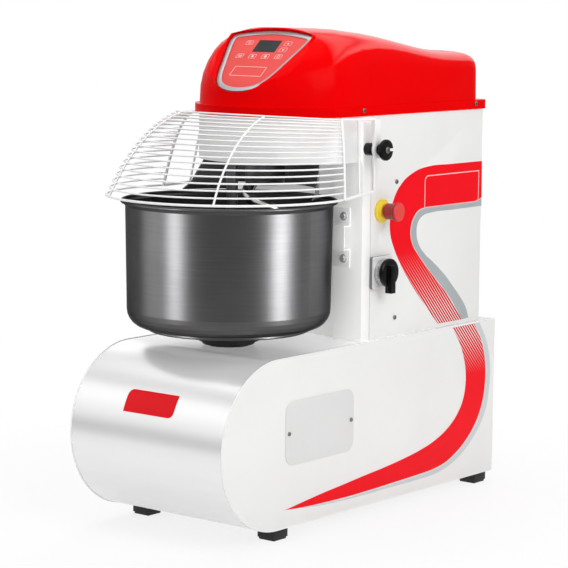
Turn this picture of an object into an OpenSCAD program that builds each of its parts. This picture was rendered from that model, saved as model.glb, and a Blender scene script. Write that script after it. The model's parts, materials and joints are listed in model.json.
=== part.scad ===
// Spiral dough mixer: a low round-nosed base, a drive column at the rear, a head that
// overhangs a turning bowl, and a hinged wire guard. +Z is up, the bowl faces -Y and the
// controls are on +X. The origin is on the floor below the middle of the base.

/* [Base] */
// Width of the base box
base_w = 370; // [366:1:380]
// Length of the base box from nose to rear
base_l = 862; // [856:1:876]
// Height of the base box above the feet
base_h = 316; // [312:1:320]
// Height of a foot
foot_h = 24; // [20:1:28]
// Side of a square foot
foot_s = 40; // [34:1:44]
// Thickness of the sheet metal
sheet = 2; // [1.5:0.5:2]

/* [Column] */
// Width of the drive column
column_w = 340; // [338:1:342]
// Depth of the drive column
column_d = 401; // [396:1:404]
// Height of the drive column above the base
column_h = 430; // [428:1:432]
// Radius of the hollow that the bowl turns in
recess_r = 216; // [214:1:218]

/* [Bowl] */
// Outer radius of the bowl's wall under the rim
bowl_r = 195; // [194:0.5:196]
// Outer radius of the bowl's wall above the bottom corner
bowl_low_r = 192; // [190:0.5:194]
// Outer radius of the rolled rim
rim_r = 204; // [203:0.5:207]
// Height of the bowl from its underside to the rim
bowl_h = 246; // [244:1:248]
// Radius of the bowl's bottom corner
bowl_corner = 34; // [32:1:38]
// Thickness of the bowl's wall
bowl_t = 2; // [1.5:0.5:2.5]
// Radius of the hub under the bowl
hub_r = 58; // [50:1:64]

/* [Spiral] */
// Distance of the spiral's axis behind the bowl's axis
spiral_off = 105; // [104:1:107]
// Radius of the spiral at the middle of its bar
spiral_r = 69; // [66:1:69]
// Radius of the spiral's bar
spiral_bar_r = 11; // [9:0.5:11]
// Turns of the spiral
spiral_turns = 1.35; // [1.2:0.05:1.5]

/* [Head] */
// Height of the head's skirt above the bottom of its floor
skirt_h = 87; // [84:1:90]
// Half width of the red cover's flange
flange_hw = 172; // [171:0.5:173]
// Height of the red cover's flange
flange_h = 18; // [14:1:20]
// Height of the cover at its front crown, above the column
crown_front = 165; // [160:1:170]
// Height of the cover at its rear, above the column
crown_rear = 117; // [112:1:122]
// Slope of the control panel
panel_slope = 41.2; // [39:0.2:43]

/* [Guard] */
// Radius of the guard's lowest ring
guard_r = 231; // [229:1:233]
// Number of guard wires
wire_n = 18; // [14:1:20]
// Radius of a guard wire
wire_r = 1.7; // [1.4:0.1:2]
// Radius of the guard's frame bars
bar_r = 3; // [2.5:0.25:3.5]

/* [Hidden] */
$fn = 96;

// Colours as the machine shows them
white_paint = "#f2f2f1";
pale_steel = "#e3e4e5";
bowl_steel = "#77797b";
dark_steel = "#4a4b4d";
cover_red = "#e0141a";
panel_red = "#f0575a";
black_plastic = "#1b1b1c";
silver = "#b9bbbd";

// Levels
base_top = foot_h + base_h;
base_mid = foot_h + base_h/2;
column_top = base_top + column_h;
bowl_z = base_top + 30;
rim_z = bowl_z + bowl_h;
skirt_z = column_top - skirt_h;
cover_z = column_top + flange_h;

// Places along Y
base_rear = base_l/2;
cover_rear = base_rear - 6;
nose_y = -base_rear + base_h/2;
bowl_y = -195;
column_front = bowl_y + 189;
column_rear = column_front + column_d;
spiral_y = bowl_y + spiral_off;
lay_y = bowl_y + 330;
motor_y = bowl_y + 490;
column_hw = column_w/2;
return_d = 24;
seam = 1;

// Gaps between parts: a running fit, and the air round what only passes
run = 0.05;
air = 0.5;

// Plan outlines of the head: half width, nose radius and the middle of the nose arc
skirt_hw = 165;
skirt_nose = 179;
skirt_cy = bowl_y + 7 + skirt_nose;
flange_nose = 193;
flange_cy = bowl_y + 2 + flange_nose;
flange_rear = column_rear + 22;
flange_corner = 24;
body_hw = 165;
body_nose = 183;
body_cy = bowl_y + 10 + body_nose;
body_rear = flange_rear - 12;
body_corner = 42;
cover_t = 4;

// Control panel: its lowest point, its shield outline and the depth it is sunk
panel_tip = [0, bowl_y + 15, column_top + 49];
shield_a = 99;
shield_b = 137;
shield_top_r = 270;
panel_sink = 5;
bezel_w = 7;

// Guard hinge
hinge_y = bowl_y + 201;
hinge_z = column_top - 62;
arm_x = 193;
arm_t = 6;
stem_l = 12;
cam_t = 6;
pivot_r = 6;

// Controls on the right side
estop = [bowl_y + 250, base_top + 247];
switch = [bowl_y + 244, base_top + 130];

// Drive
shaft_r = 17.5;
bearing_r = 36;
belt_t = 8;
belt_gap = 1;
top_belt_z = column_top + 8;
low_belt_z = foot_h + 176;
motor_belt_z = column_top - 70;
belt_h = 22;
spiral_pulley_r = 78;
lay_top_r = 38;
bowl_pulley_r = 150;
lay_low_r = 26;
lay_big_r = 98;
motor_pulley_r = 30;
lay_r = 15;
motor_r = 80;

// Sweeps
function unit(v) = v / norm(v);
function tangent(p, i) = unit(p[min(i + 1, len(p) - 1)] - p[max(i - 1, 0)]);
function ring(c, t, ref, r, n) =
    let (u = unit(cross(ref, t)), w = cross(t, u))
    [for (k = [0:n - 1]) c + r*(cos(360*k/n)*u + sin(360*k/n)*w)];
function side_faces(m, n) = [
    for (i = [0:m - 2], k = [0:n - 1], f = [0, 1])
        let (a = i*n + k, b = i*n + (k + 1) % n)
        f == 0 ? [a, a + n, b + n] : [a, b + n, b]
];

// A closed round bar along a path
module tube(path, r, n = 6, ref = [0, 0, 1]) {
    m = len(path);
    points = [for (i = [0:m - 1]) each ring(path[i], tangent(path, i), ref, r, n)];
    first = [[for (k = [0:n - 1]) k]];
    last = [[for (k = [n - 1:-1:0]) (m - 1)*n + k]];
    polyhedron(points = points, faces = concat(first, side_faces(m, n), last));
}

// The same thing on both sides of the machine
module both_sides() {
    children();
    mirror([1, 0, 0]) children();
}

// Draws towards +X from a point on the side
module on_side(x, y, z) {
    translate([x, y, z]) rotate([0, 90, 0]) children();
}

module ring_solid(outer, inner, h) {
    difference() {
        cylinder(r = outer, h = h);
        translate([0, 0, -1]) cylinder(r = inner, h = h + 2);
    }
}

// A pan-head screw with its head on +Z
module pan_screw(r, h) {
    cylinder(r = r, h = h*0.6);
    translate([0, 0, h*0.6]) cylinder(r1 = r, r2 = r*0.6, h = h*0.4);
}

// Base

module base_outline(inset, rear) {
    r = base_h/2 - inset;
    translate([nose_y, base_mid]) circle(r = r);
    translate([nose_y, base_mid - r]) square([rear - nose_y, 2*r]);
}

module base_wrap() {
    w = base_w - 2*sheet;
    color(pale_steel)
    difference() {
        translate([-w/2, 0, 0]) rotate([90, 0, 90]) linear_extrude(w)
            difference() {
                base_outline(0, base_rear);
                base_outline(sheet, base_rear + 1);
            }
        translate([0, bowl_y, base_top - 10]) cylinder(r = 40, h = 20);
        translate([0, lay_y, base_top - 10]) cylinder(r = 40, h = 20);
    }
}

module base_side(x) {
    translate([x, 0, 0]) rotate([90, 0, 90]) linear_extrude(sheet)
        base_outline(0, base_rear);
}

module base_side_right() {
    color(white_paint) base_side(base_w/2 - sheet);
}

module base_side_left() {
    color(white_paint) base_side(-base_w/2);
}

module base_rear_cover() {
    slots = 7;
    w = base_w - 2*sheet;
    h = base_h - 2*sheet;
    color(white_paint)
    difference() {
        translate([-w/2, cover_rear - sheet, foot_h + sheet]) cube([w, sheet, h]);
        for (i = [0:slots - 1], side = [-1, 1])
            translate([side*80 - 50, cover_rear - sheet - 1, base_mid - 60 + i*20])
                cube([100, sheet + 2, 6]);
    }
}

cover_y = bowl_y + 46;
cover_mid_z = foot_h + 175;
access_w = 205;
access_h = 121;
access_corner = 22;

module rounded_plate(w, h, r, t) {
    linear_extrude(t) {
        square([w - 2*r, h], center = true);
        square([w, h - 2*r], center = true);
        for (sx = [-1, 1], sy = [-1, 1])
            translate([sx*(w/2 - r), sy*(h/2 - r)]) circle(r = r);
    }
}

module base_access_cover() {
    color(white_paint)
    translate([base_w/2, cover_y, cover_mid_z]) rotate([90, 0, 90])
        rounded_plate(access_w, access_h, access_corner, 1.5);
}

module access_cover_screws() {
    color(silver)
    for (s = [-1, 1])
        on_side(base_w/2 + 1.5, cover_y + s*(access_w/2 - 9), cover_mid_z) pan_screw(4, 2.5);
}

module feet() {
    in_x = 29.5;
    color(black_plastic)
    for (x = [-1, 1], y = [bowl_y - 55, bowl_y + 598])
        translate([x*(base_w/2 - in_x), y, 0]) {
            translate([-foot_s/2, -foot_s/2, 4]) cube([foot_s, foot_s, foot_h - 4]);
            translate([-foot_s/2 + 2, -foot_s/2 + 2, 0]) cube([foot_s - 4, foot_s - 4, 4]);
        }
}

// Column

module column_front() {
    color(white_paint)
    translate([0, 0, base_top]) linear_extrude(column_h) {
        difference() {
            union() {
                translate([-column_hw, column_front]) square([column_w, sheet]);
                intersection() {
                    translate([0, bowl_y]) circle(r = recess_r + sheet);
                    translate([-column_hw, column_front]) square([column_w, 80]);
                }
            }
            translate([0, bowl_y]) circle(r = recess_r);
        }
        for (x = [-column_hw, column_hw - sheet])
            translate([x, column_front + sheet]) square([sheet, return_d]);
    }
}

module column_side() {
    y0 = column_front + sheet + return_d + seam;
    translate([column_hw - sheet, y0, base_top])
        cube([sheet, column_rear - sheet - y0, column_h]);
}

module column_side_right() {
    color(white_paint)
    difference() {
        column_side();
        on_side(column_hw - 5, estop[0], estop[1]) cylinder(r = 11.5, h = 10);
        on_side(column_hw - 5, switch[0], switch[1]) cylinder(r = 8, h = 10);
    }
}

module column_side_left() {
    color(white_paint) mirror([1, 0, 0]) column_side();
}

module column_rear_cover() {
    slots = 9;
    color(white_paint)
    difference() {
        translate([-column_hw, column_rear - sheet, base_top]) cube([column_w, sheet, column_h]);
        for (i = [0:slots - 1], side = [-1, 1])
            translate([side*70 - 45, column_rear - sheet - 1, base_top + 90 + i*18])
                cube([90, sheet + 2, 6]);
        translate([gland_x, column_rear - sheet - 1, gland_z]) rotate([-90, 0, 0])
            cylinder(r = gland_r, h = sheet + 2);
    }
}

module column_screws() {
    inset = 14;
    color(silver) {
        both_sides()
            for (z = [base_top + 36, base_top + 300])
                on_side(column_hw, bowl_y + 297, z) pan_screw(4.5, 2.5);
        for (x = [-1, 1], z = [base_top + inset, base_top + column_h/2, column_top - inset])
            translate([x*(column_hw - inset), column_rear, z]) rotate([-90, 0, 0]) pan_screw(4.5, 2.5);
        for (x = [-1, 1], z = [foot_h + inset, base_top - inset])
            translate([x*(base_w/2 - inset), cover_rear, z]) rotate([-90, 0, 0]) pan_screw(4.5, 2.5);
    }
}

// Head

// Plan of the head: a wide round nose that meets straight sides at a soft corner
module head_plan(hw, nose, cy, inset, rear) {
    r = nose - inset;
    w = hw - inset;
    corner = cy - sqrt(r*r - w*w);
    intersection() {
        translate([0, cy]) circle(r = r);
        translate([-w, corner - r]) square([2*w, r]);
    }
    translate([-w, corner - 0.01]) square([2*w, rear - corner + 0.01]);
}

module head_skirt() {
    color(pale_steel)
    translate([0, 0, skirt_z]) linear_extrude(skirt_h)
        difference() {
            head_plan(skirt_hw, skirt_nose, skirt_cy, 0, column_front);
            head_plan(skirt_hw, skirt_nose, skirt_cy, sheet, column_front + 1);
        }
}

floor_t = 4;
bar_y = bowl_y + 8;

module head_floor() {
    color(silver)
    difference() {
        translate([0, 0, skirt_z]) linear_extrude(floor_t) {
            head_plan(skirt_hw, skirt_nose, skirt_cy, sheet, column_front);
            intersection() {
                translate([0, bowl_y]) circle(r = recess_r);
                translate([-column_hw, column_front - 1]) square([column_w, 80]);
            }
        }
        translate([0, spiral_y, skirt_z - 1]) cylinder(r = 30, h = floor_t + 2);
    }
}

// Height of the cover's crown along its length, falling in a soft S to the rear
fall_from = bowl_y + 137;
fall_to = bowl_y + 520;
function soft(t) = let (c = max(0, min(1, t))) c*c*(3 - 2*c);
function crown(y) =
    column_top + crown_front - (crown_front - crown_rear)*soft((y - fall_from)/(fall_to - fall_from));

// Right half of the cover's plan from the front middle to the rear middle
nose_steps = 14;
side_steps = 10;
corner_steps = 5;
function half_plan(inset) =
    let (
        r = body_nose - inset,
        w = body_hw - inset,
        rear = body_rear - inset,
        rc = body_corner - inset,
        end = asin(w/r),
        y0 = body_cy - r*cos(end),
        y1 = rear - rc
    ) concat(
        [for (i = [0:nose_steps]) [r*sin(end*i/nose_steps), body_cy - r*cos(end*i/nose_steps)]],
        [for (i = [1:side_steps]) [w, y0 + (y1 - y0)*i/side_steps]],
        [for (i = [1:corner_steps])
            [w - rc + rc*cos(90*i/corner_steps), y1 + rc*sin(90*i/corner_steps)]],
        [[w*0.4, rear + 3], [0, rear + 4]]
    );
function full_plan(h) = concat(h, [for (i = [len(h) - 2:-1:1]) [-h[i][0], h[i][1]]]);

// A dome over the plan: the rings shrink to a middle line while they rise.
// Its sections are round behind the panel and boxy at the rear.
power_front = 2.5;
power_rear = 8;
boxy_from = bowl_y + 70;
boxy_to = bowl_y + 355;
function dome_power(y) =
    power_front + (power_rear - power_front)*soft((y - boxy_from)/(boxy_to - boxy_from));
dome_rings = 9;
dome_last = 80;
spine_front = bowl_y + 178;
spine_rear = bowl_y + 365;
function dome_point(p, a, inset, z0) =
    let (
        r = pow(cos(a), 2/dome_power(p[1])),
        h = pow(sin(a), 2/dome_power(p[1])),
        s = [0, max(spine_front, min(spine_rear, p[1]))],
        q = s + (p - s)*r
    ) [q[0], q[1], z0 + (crown(q[1]) - inset - z0)*h];
module dome(inset, z0) {
    plan = full_plan(half_plan(inset));
    n = len(plan);
    m = n/2;
    points = [
        for (k = [0:dome_rings], p = plan) dome_point(p, dome_last*k/dome_rings, inset, z0)
    ];
    top = dome_rings*n;
    cap = [for (i = [1:m - 2], f = [0, 1])
        let (a = top + i, b = top + n - i)
        f == 0 ? [a, b, b - 1] : [a, b - 1, a + 1]];
    ends = [[top, top + n - 1, top + 1], [top + m - 1, top + m + 1, top + m]];
    floor_face = [[for (i = [0:n - 1]) i]];
    polyhedron(points = points, faces = concat(floor_face, side_faces(dome_rings + 1, n), cap, ends));
}

module on_panel() {
    translate(panel_tip) rotate([panel_slope, 0, 0]) children();
}

module below_panel(lift) {
    reach = 1200;
    on_panel() translate([-reach/2, -reach/2, lift - reach]) cube([reach, reach, reach]);
}

// Shield: the lower half of an ellipse closed by a flat arc at the top
shield_steps = 24;
shield_arc_steps = 8;
function shield(inset) =
    let (
        a = shield_a - inset,
        b = shield_b - inset,
        lift = 12,
        r = shield_top_r,
        half = asin(a/r),
        cv = shield_b - 2 + lift - inset - r*cos(half)
    ) concat(
        [for (i = [0:shield_steps])
            [-a*cos(180*i/shield_steps), shield_b - 2 - b*sin(180*i/shield_steps)]],
        [for (i = [0:shield_arc_steps])
            let (t = half - 2*half*i/shield_arc_steps)
            [r*sin(t), cv + r*cos(t)]]
    );

module flange_plan(inset) {
    r = flange_corner;
    w = flange_hw - inset;
    rear = flange_rear - inset;
    head_plan(flange_hw, flange_nose, flange_cy, inset, rear - r);
    translate([-w + r, rear - r - 1]) square([2*(w - r), r + 1]);
    for (s = [-1, 1]) translate([s*(w - r), rear - r]) circle(r = r);
}

module head_cover() {
    color(cover_red) {
        difference() {
            translate([0, 0, column_top]) linear_extrude(flange_h) flange_plan(0);
            translate([0, 0, column_top - 1]) linear_extrude(flange_h + 2)
                polygon(full_plan(half_plan(cover_t)));
        }
        difference() {
            intersection() {
                dome(0, cover_z);
                below_panel(panel_sink);
            }
            intersection() {
                dome(cover_t, cover_z - 1);
                below_panel(-cover_t);
            }
            on_panel() linear_extrude(60) polygon(shield(-1));
        }
    }
}

module head_cover_screws() {
    color(silver)
    both_sides()
        for (y = [bowl_y + 186, bowl_y + 560])
            on_side(flange_hw, y, column_top + flange_h*0.6) pan_screw(4.5, 3);
}

module control_bezel() {
    color(silver)
    on_panel() linear_extrude(2)
        difference() {
            polygon(shield(0));
            polygon(shield(bezel_w));
        }
}

display_w = 56;
display_h = 33;
display_v = 122;

module control_overlay() {
    color(panel_red)
    on_panel() linear_extrude(1.2)
        difference() {
            polygon(shield(bezel_w));
            translate([-display_w/2, display_v - display_h/2]) square([display_w, display_h]);
        }
}

module display_window() {
    color("#3a3d42")
    on_panel() translate([-display_w/2, display_v - display_h/2, 0])
        cube([display_w, display_h, 1]);
}

key_w = 17;
key_h = 12;
function key_places() = concat(
    [[-47, 131], [45, 131], [46, 112]],
    [for (i = [0:3]) [-47 + i*31, 92]]
);

module control_keys() {
    color(panel_red)
    on_panel() for (k = key_places())
        translate([k[0], k[1], 1.2]) rounded_plate(key_w, key_h, 2.5, 0.6);
}

// A curved sheet behind the spiral, cut away at the front by a sloping plane
shield_sheet_r = 168;
module rear_shield() {
    low = rim_z + 18;
    h = skirt_z - low;
    color(dark_steel)
    difference() {
        translate([0, bowl_y, low]) ring_solid(shield_sheet_r, shield_sheet_r - sheet, h);
        translate([0, bowl_y + 93, skirt_z]) rotate([-29.2, 0, 0])
            translate([-300, -500, -400]) cube([600, 500, 800]);
    }
}

module breaker_bar() {
    r = 11;
    end_z = bowl_z + bowl_t + 14;
    color(bowl_steel)
    translate([0, bar_y, 0]) {
        translate([0, 0, end_z + r]) cylinder(r = r, h = skirt_z - end_z - r);
        translate([0, 0, end_z + r]) sphere(r = r);
    }
}

// Guide roller that steadies the bowl's wall

roller_r = 9;
roller_h = 30;
roller_z = base_top + 198;
roller_x = 105;
wall_here = bowl_low_r + (bowl_r - bowl_low_r)*(roller_z - bowl_z)/bowl_h;
roller_reach = wall_here + roller_r + air;
roller_y = bowl_y + sqrt(roller_reach*roller_reach - roller_x*roller_x);
roller_pin_r = 3.5;
web_t = 3;
hat_h = 48;
hat_d = 20;
plate_h = 33;
bracket_x0 = 96;
bracket_w = 46;

module roller_bracket() {
    front = column_front - hat_d;
    color(white_paint)
    difference() {
        union() {
            for (z = [roller_z - hat_h/2 - plate_h, roller_z + hat_h/2])
                translate([bracket_x0, column_front - web_t, z]) cube([bracket_w, web_t, plate_h]);
            for (z = [roller_z - hat_h/2, roller_z + hat_h/2 - web_t])
                translate([bracket_x0, front, z]) cube([bracket_w, column_front - front, web_t]);
            translate([bracket_x0, front, roller_z - hat_h/2]) cube([bracket_w, web_t, hat_h]);
        }
        translate([0, bowl_y, roller_z - 100]) cylinder(r = bowl_r + 3, h = 200);
        translate([roller_x, roller_y, roller_z - 100]) cylinder(r = roller_pin_r + run, h = 200);
        translate([roller_x, roller_y, roller_z - roller_h/2 - 2])
            cylinder(r = roller_r + 2, h = roller_h + 4);
    }
}

module roller_bolts() {
    color(dark_steel)
    for (s = [-1, 1])
        translate([bracket_x0 + 33, column_front - web_t, roller_z + s*(hat_h + plate_h)/2])
            rotate([90, 0, 0]) {
                cylinder(r = 8, h = 1.5);
                translate([0, 0, 1.5]) cylinder(r = 6, h = 5, $fn = 6);
            }
}

module roller_pin() {
    l = hat_h + 4;
    color(silver)
    translate([roller_x, roller_y, roller_z - l/2]) cylinder(r = roller_pin_r, h = l);
}

module guide_roller() {
    color(black_plastic)
    translate([roller_x, roller_y, roller_z - roller_h/2])
        ring_solid(roller_r, roller_pin_r + run, roller_h);
}

// Wire guard: each wire is part of an ellipse, and the ellipses shrink as they climb

guard_z = rim_z + 8;
profile_r = 288;
profile_h = 153;
lean_low = 27;
lean_top = 76;
side_in = 47;
side_back = 104;
wrap_low = 16;
side_drop = 10;
wire_steps = 22;
function lean(s) = lean_low + (lean_top - lean_low)*s;
function front_reach(s) = guard_r - profile_r*(cos(lean_low) - cos(lean(s)));
function front_rise(s) =
    guard_z + profile_h*(sin(lean(s)) - sin(lean_low))/(sin(lean_top) - sin(lean_low));
function cage_point(s, t) =
    let (
        back = side_back*s,
        a = guard_r - side_in*s,
        b = front_reach(s) + back
    ) [a*cos(t), bowl_y + back - b*sin(t), front_rise(s) - side_drop*s*(1 - sin(t))];
function wrap(s) = wrap_low*(1 - s);
function cage_wire(s) = [
    for (i = [0:wire_steps])
        cage_point(s, -wrap(s) + (180 + 2*wrap(s))*i/wire_steps)
];
function cage_rib(t, steps) = [for (i = [0:steps]) cage_point(i/steps, t)];
function border(steps) = [for (i = [0:steps]) cage_point(i/steps, -wrap(i/steps))];

module guard_wires() {
    color(white_paint)
    for (i = [0:wire_n - 1])
        tube(cage_wire(i/(wire_n - 1)), i == 0 ? wire_r + 0.8 : wire_r);
}

post = [arm_x + arm_t/2, hinge_y - 12];
post_low = guard_z + 6;
post_top = column_top - 4;
module guard_frame() {
    low = border(12)[0];
    high = border(12)[12];
    mid_low = [(low[0] + post[0])/2, (low[1] + post[1])/2, (low[2] + post_low)/2];
    mid_high = [(high[0] + post[0])/2, (high[1] + post[1])/2, (high[2] + post_top)/2];
    color(white_paint) {
        for (t = [57, 123]) tube(cage_rib(t, 14), 2, 6, [1, 0, 0]);
        both_sides() {
            tube(border(12), bar_r, 8, [1, 0, 0]);
            tube([low, mid_low, [post[0], post[1], post_low]], bar_r, 8);
            tube([high, mid_high, [post[0], post[1], post_top]], bar_r, 8);
            tube([mid_low, mid_high], bar_r - 0.6, 8, [1, 0, 0]);
            tube([[post[0], post[1], post_low - bar_r], [post[0], post[1], post_top + bar_r]],
                bar_r, 8, [1, 0, 0]);
        }
    }
}

module guard_arms() {
    color(white_paint)
    both_sides()
        difference() {
            union() {
                on_side(arm_x, hinge_y, hinge_z) cylinder(r = 17, h = arm_t);
                translate([arm_x, hinge_y - 15, hinge_z]) cube([arm_t, 20, post_top - hinge_z]);
            }
            on_side(arm_x - 1, hinge_y, hinge_z) cylinder(r = pivot_r + run, h = arm_t + 2);
        }
}

module guard_cams() {
    x0 = arm_x + arm_t;
    color(black_plastic)
    both_sides()
        difference() {
            union() {
                on_side(x0, hinge_y, hinge_z) cylinder(r = 11, h = stem_l);
                on_side(x0 + stem_l, hinge_y, hinge_z) cylinder(r = 20, h = cam_t);
            }
            on_side(x0 - 1, hinge_y, hinge_z) cylinder(r = pivot_r + run, h = stem_l + cam_t + 2);
            translate([x0 + stem_l, hinge_y + 8, hinge_z - 2.5]) cube([cam_t + 1, 20, 5]);
        }
}

cam_face = arm_x + arm_t + stem_l + cam_t;
module guard_pivots() {
    bush = arm_x - column_hw - air;
    color(black_plastic)
    both_sides() {
        on_side(column_hw, hinge_y, hinge_z) cylinder(r = 12, h = bush);
        on_side(column_hw + bush, hinge_y, hinge_z)
            cylinder(r = pivot_r, h = cam_face + air - column_hw - bush);
    }
}

module pivot_screws() {
    color(silver)
    both_sides()
        on_side(cam_face + air, hinge_y, hinge_z) pan_screw(9, 3);
}

// Controls on the right side

estop_seat = 9;
estop_gap = 5;
module estop_collar() {
    color("#f3c911")
    on_side(column_hw, estop[0], estop[1])
        difference() {
            union() {
                cylinder(r = 22.5, h = 4);
                translate([0, 0, 4]) cylinder(r1 = 17.5, r2 = 16, h = estop_seat - 4);
                translate([0, 0, -30]) cylinder(r = 11, h = 31);
            }
            translate([0, 0, -20]) cylinder(r = 6 + run, h = 60);
        }
}

module estop_button() {
    color(cover_red)
    on_side(column_hw, estop[0], estop[1]) {
        translate([0, 0, -10]) cylinder(r = 6, h = estop_seat + estop_gap + 12);
        translate([0, 0, estop_seat + estop_gap]) cylinder(r = 15.5, h = 18);
        translate([0, 0, estop_seat + estop_gap + 18]) cylinder(r1 = 15.5, r2 = 18.5, h = 6);
        translate([0, 0, estop_seat + estop_gap + 24]) cylinder(r = 18.5, h = 3);
        translate([0, 0, estop_seat + estop_gap + 27]) cylinder(r1 = 18.5, r2 = 16, h = 2);
    }
}

plate_s = 62;
plate_t = 8;
module switch_plate() {
    color(silver)
    difference() {
        translate([column_hw, switch[0], switch[1]]) rotate([90, 0, 90])
            rounded_plate(plate_s, plate_s, 5, plate_t);
        on_side(column_hw - 1, switch[0], switch[1]) cylinder(r = 6 + run, h = plate_t + 2);
    }
}

collar_t = 12;
module switch_collar() {
    color(pale_steel)
    on_side(column_hw + plate_t, switch[0], switch[1]) ring_solid(26, 6 + run, collar_t);
}

knob_t = 8;
module switch_knob() {
    x0 = column_hw + plate_t + collar_t + air;
    color(black_plastic) {
        on_side(column_hw - 6, switch[0], switch[1]) cylinder(r = 6, h = plate_t + collar_t + 7);
        on_side(x0, switch[0], switch[1]) cylinder(r = 27.5, h = knob_t - 2);
        on_side(x0 + knob_t - 2, switch[0], switch[1]) cylinder(r1 = 27.5, r2 = 25.5, h = 2);
        translate([x0, switch[0] - 7, switch[1] - 39]) cube([knob_t + 7, 14, 54]);
    }
}

// Bowl

arc_steps = 6;
function arc(c, r, from, to) = [
    for (i = [0:arc_steps])
        let (t = from + (to - from)*i/arc_steps)
        [c[0] + r*cos(t), c[1] + r*sin(t)]
];
lip_z = bowl_h - 12;
bead_r = 3.5;
dish_h = 6;
dish_r = bowl_low_r - bowl_corner - 4;
module bowl_profile() {
    outer = concat(
        [[0, 0], [dish_r - 2, 0], [dish_r, 2], [dish_r, dish_h]],
        arc([bowl_low_r - bowl_corner, dish_h + bowl_corner], bowl_corner, -90, 0),
        [[bowl_r, lip_z], [rim_r - bead_r, bowl_h - bead_r - 2]]
    );
    inner = concat(
        [[rim_r - bead_r, bowl_h - bead_r + 1.5], [bowl_r - bowl_t, lip_z + 2]],
        arc([bowl_low_r - bowl_corner, dish_h + bowl_corner], bowl_corner - bowl_t, 0, -90),
        [[dish_r - bowl_t, dish_h + bowl_t], [dish_r - bowl_t, bowl_t + 1], [dish_r - bowl_t - 1, bowl_t],
            [0, bowl_t]]
    );
    polygon(concat(outer, inner));
    translate([rim_r - bead_r, bowl_h - bead_r]) circle(r = bead_r, $fn = 32);
}

module bowl_shell() {
    color(bowl_steel)
    translate([0, bowl_y, bowl_z]) rotate_extrude() bowl_profile();
}

module bowl_hub() {
    color(dark_steel)
    translate([0, bowl_y, base_top + 3]) {
        cylinder(r = hub_r - 8, h = 6);
        translate([0, 0, 6]) cylinder(r = hub_r, h = bowl_z - base_top - 9);
    }
}

bowl_shaft_r = 25;
module bowl_shaft() {
    color(silver)
    translate([0, bowl_y, low_belt_z - 14])
        cylinder(r = bowl_shaft_r, h = base_top + 3 - low_belt_z + 14);
}

// A flat-faced pulley with a thin web and a boss
module pulley(outer, bore, h) {
    difference() {
        cylinder(r = outer, h = h);
        if (outer > 3*bore)
            for (z = [-1, h - 5])
                translate([0, 0, z]) ring_solid(outer - 10, bore + 12, 6);
        translate([0, 0, -1]) cylinder(r = bore + run, h = h + 2);
    }
}

module bowl_pulley() {
    color(dark_steel)
    translate([0, bowl_y, low_belt_z]) pulley(bowl_pulley_r, bowl_shaft_r, belt_h);
}

bowl_bearing_z = base_top - sheet - 80;
module bowl_bearings() {
    color(silver)
    for (z = [4, 58])
        translate([0, bowl_y, bowl_bearing_z + z]) ring_solid(45, bowl_shaft_r + run, 18);
}

module bowl_bearing_housing() {
    color(dark_steel)
    translate([0, bowl_y, bowl_bearing_z])
        difference() {
            union() {
                cylinder(r = 60, h = 80);
                translate([0, 0, 68]) cylinder(r = 74, h = 12);
            }
            translate([0, 0, -1]) cylinder(r = 38, h = 90);
            for (z = [4, 58]) translate([0, 0, z]) cylinder(r = 45 + run, h = 18);
        }
}

// Spiral

hook_rings = 46;
hook_low = bowl_z + bowl_t + 12 + spiral_bar_r;
hook_start = -146;
hub_low = skirt_z - 46;
function hook_point(t) =
    let (
        grow = soft(min(1, t/0.2)),
        tuck = soft(max(0, (t - 0.72)/0.28)),
        r = 22 + (spiral_r - 22)*grow - 17*tuck,
        a = hook_start + 360*spiral_turns*t,
        drop = pow(t, 1.08)
    ) [r*cos(a), spiral_y + r*sin(a), hub_low + 8 - (hub_low + 8 - hook_low)*drop];

module spiral_hook() {
    color(bowl_steel)
    tube([for (i = [0:hook_rings]) hook_point(i/hook_rings)], spiral_bar_r, 12);
}

module spiral_hub() {
    color(dark_steel)
    translate([0, spiral_y, 0]) {
        translate([0, 0, hub_low + 6]) cylinder(r = 38, h = 36);
        translate([0, 0, hub_low]) cylinder(r1 = 34, r2 = 38, h = 6);
        translate([0, 0, hub_low + 42]) cylinder(r = shaft_r, h = top_belt_z + belt_h - hub_low - 42);
    }
}

module spiral_pulley() {
    color(dark_steel)
    translate([0, spiral_y, top_belt_z]) pulley(spiral_pulley_r, shaft_r, belt_h);
}

spiral_bearing_z = skirt_z + floor_t;
spiral_housing_h = column_top - spiral_bearing_z;
module spiral_bearings() {
    color(silver)
    for (z = [4, spiral_housing_h - 22])
        translate([0, spiral_y, spiral_bearing_z + z]) ring_solid(bearing_r, shaft_r + run, 18);
}

module spiral_bearing_housing() {
    color(dark_steel)
    translate([0, spiral_y, spiral_bearing_z])
        difference() {
            union() {
                cylinder(r = 50, h = spiral_housing_h);
                cylinder(r = 74, h = 10);
            }
            translate([0, 0, -1]) cylinder(r = 29, h = spiral_housing_h + 2);
            for (z = [4, spiral_housing_h - 22])
                translate([0, 0, z]) cylinder(r = bearing_r + run, h = 18);
        }
}

// Drive inside the column

lay_low_z = low_belt_z - 14;
lay_top_z = top_belt_z + belt_h + 4;
plate_low_z = base_top + 30;
plate_top_z = column_top - 26;
module lay_shaft() {
    color(silver)
    translate([0, lay_y, lay_low_z]) cylinder(r = lay_r, h = lay_top_z - lay_low_z);
}

module lay_pulleys() {
    color(dark_steel)
    translate([0, lay_y, 0]) {
        translate([0, 0, low_belt_z]) pulley(lay_low_r, lay_r, belt_h);
        translate([0, 0, top_belt_z]) pulley(lay_top_r, lay_r, belt_h);
        translate([0, 0, motor_belt_z]) pulley(lay_big_r, lay_r, belt_h);
    }
}

module lay_bearings() {
    color(silver)
    for (z = [plate_low_z + 6, plate_top_z + 6])
        translate([0, lay_y, z]) ring_solid(26, lay_r + run, 14);
}

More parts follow.
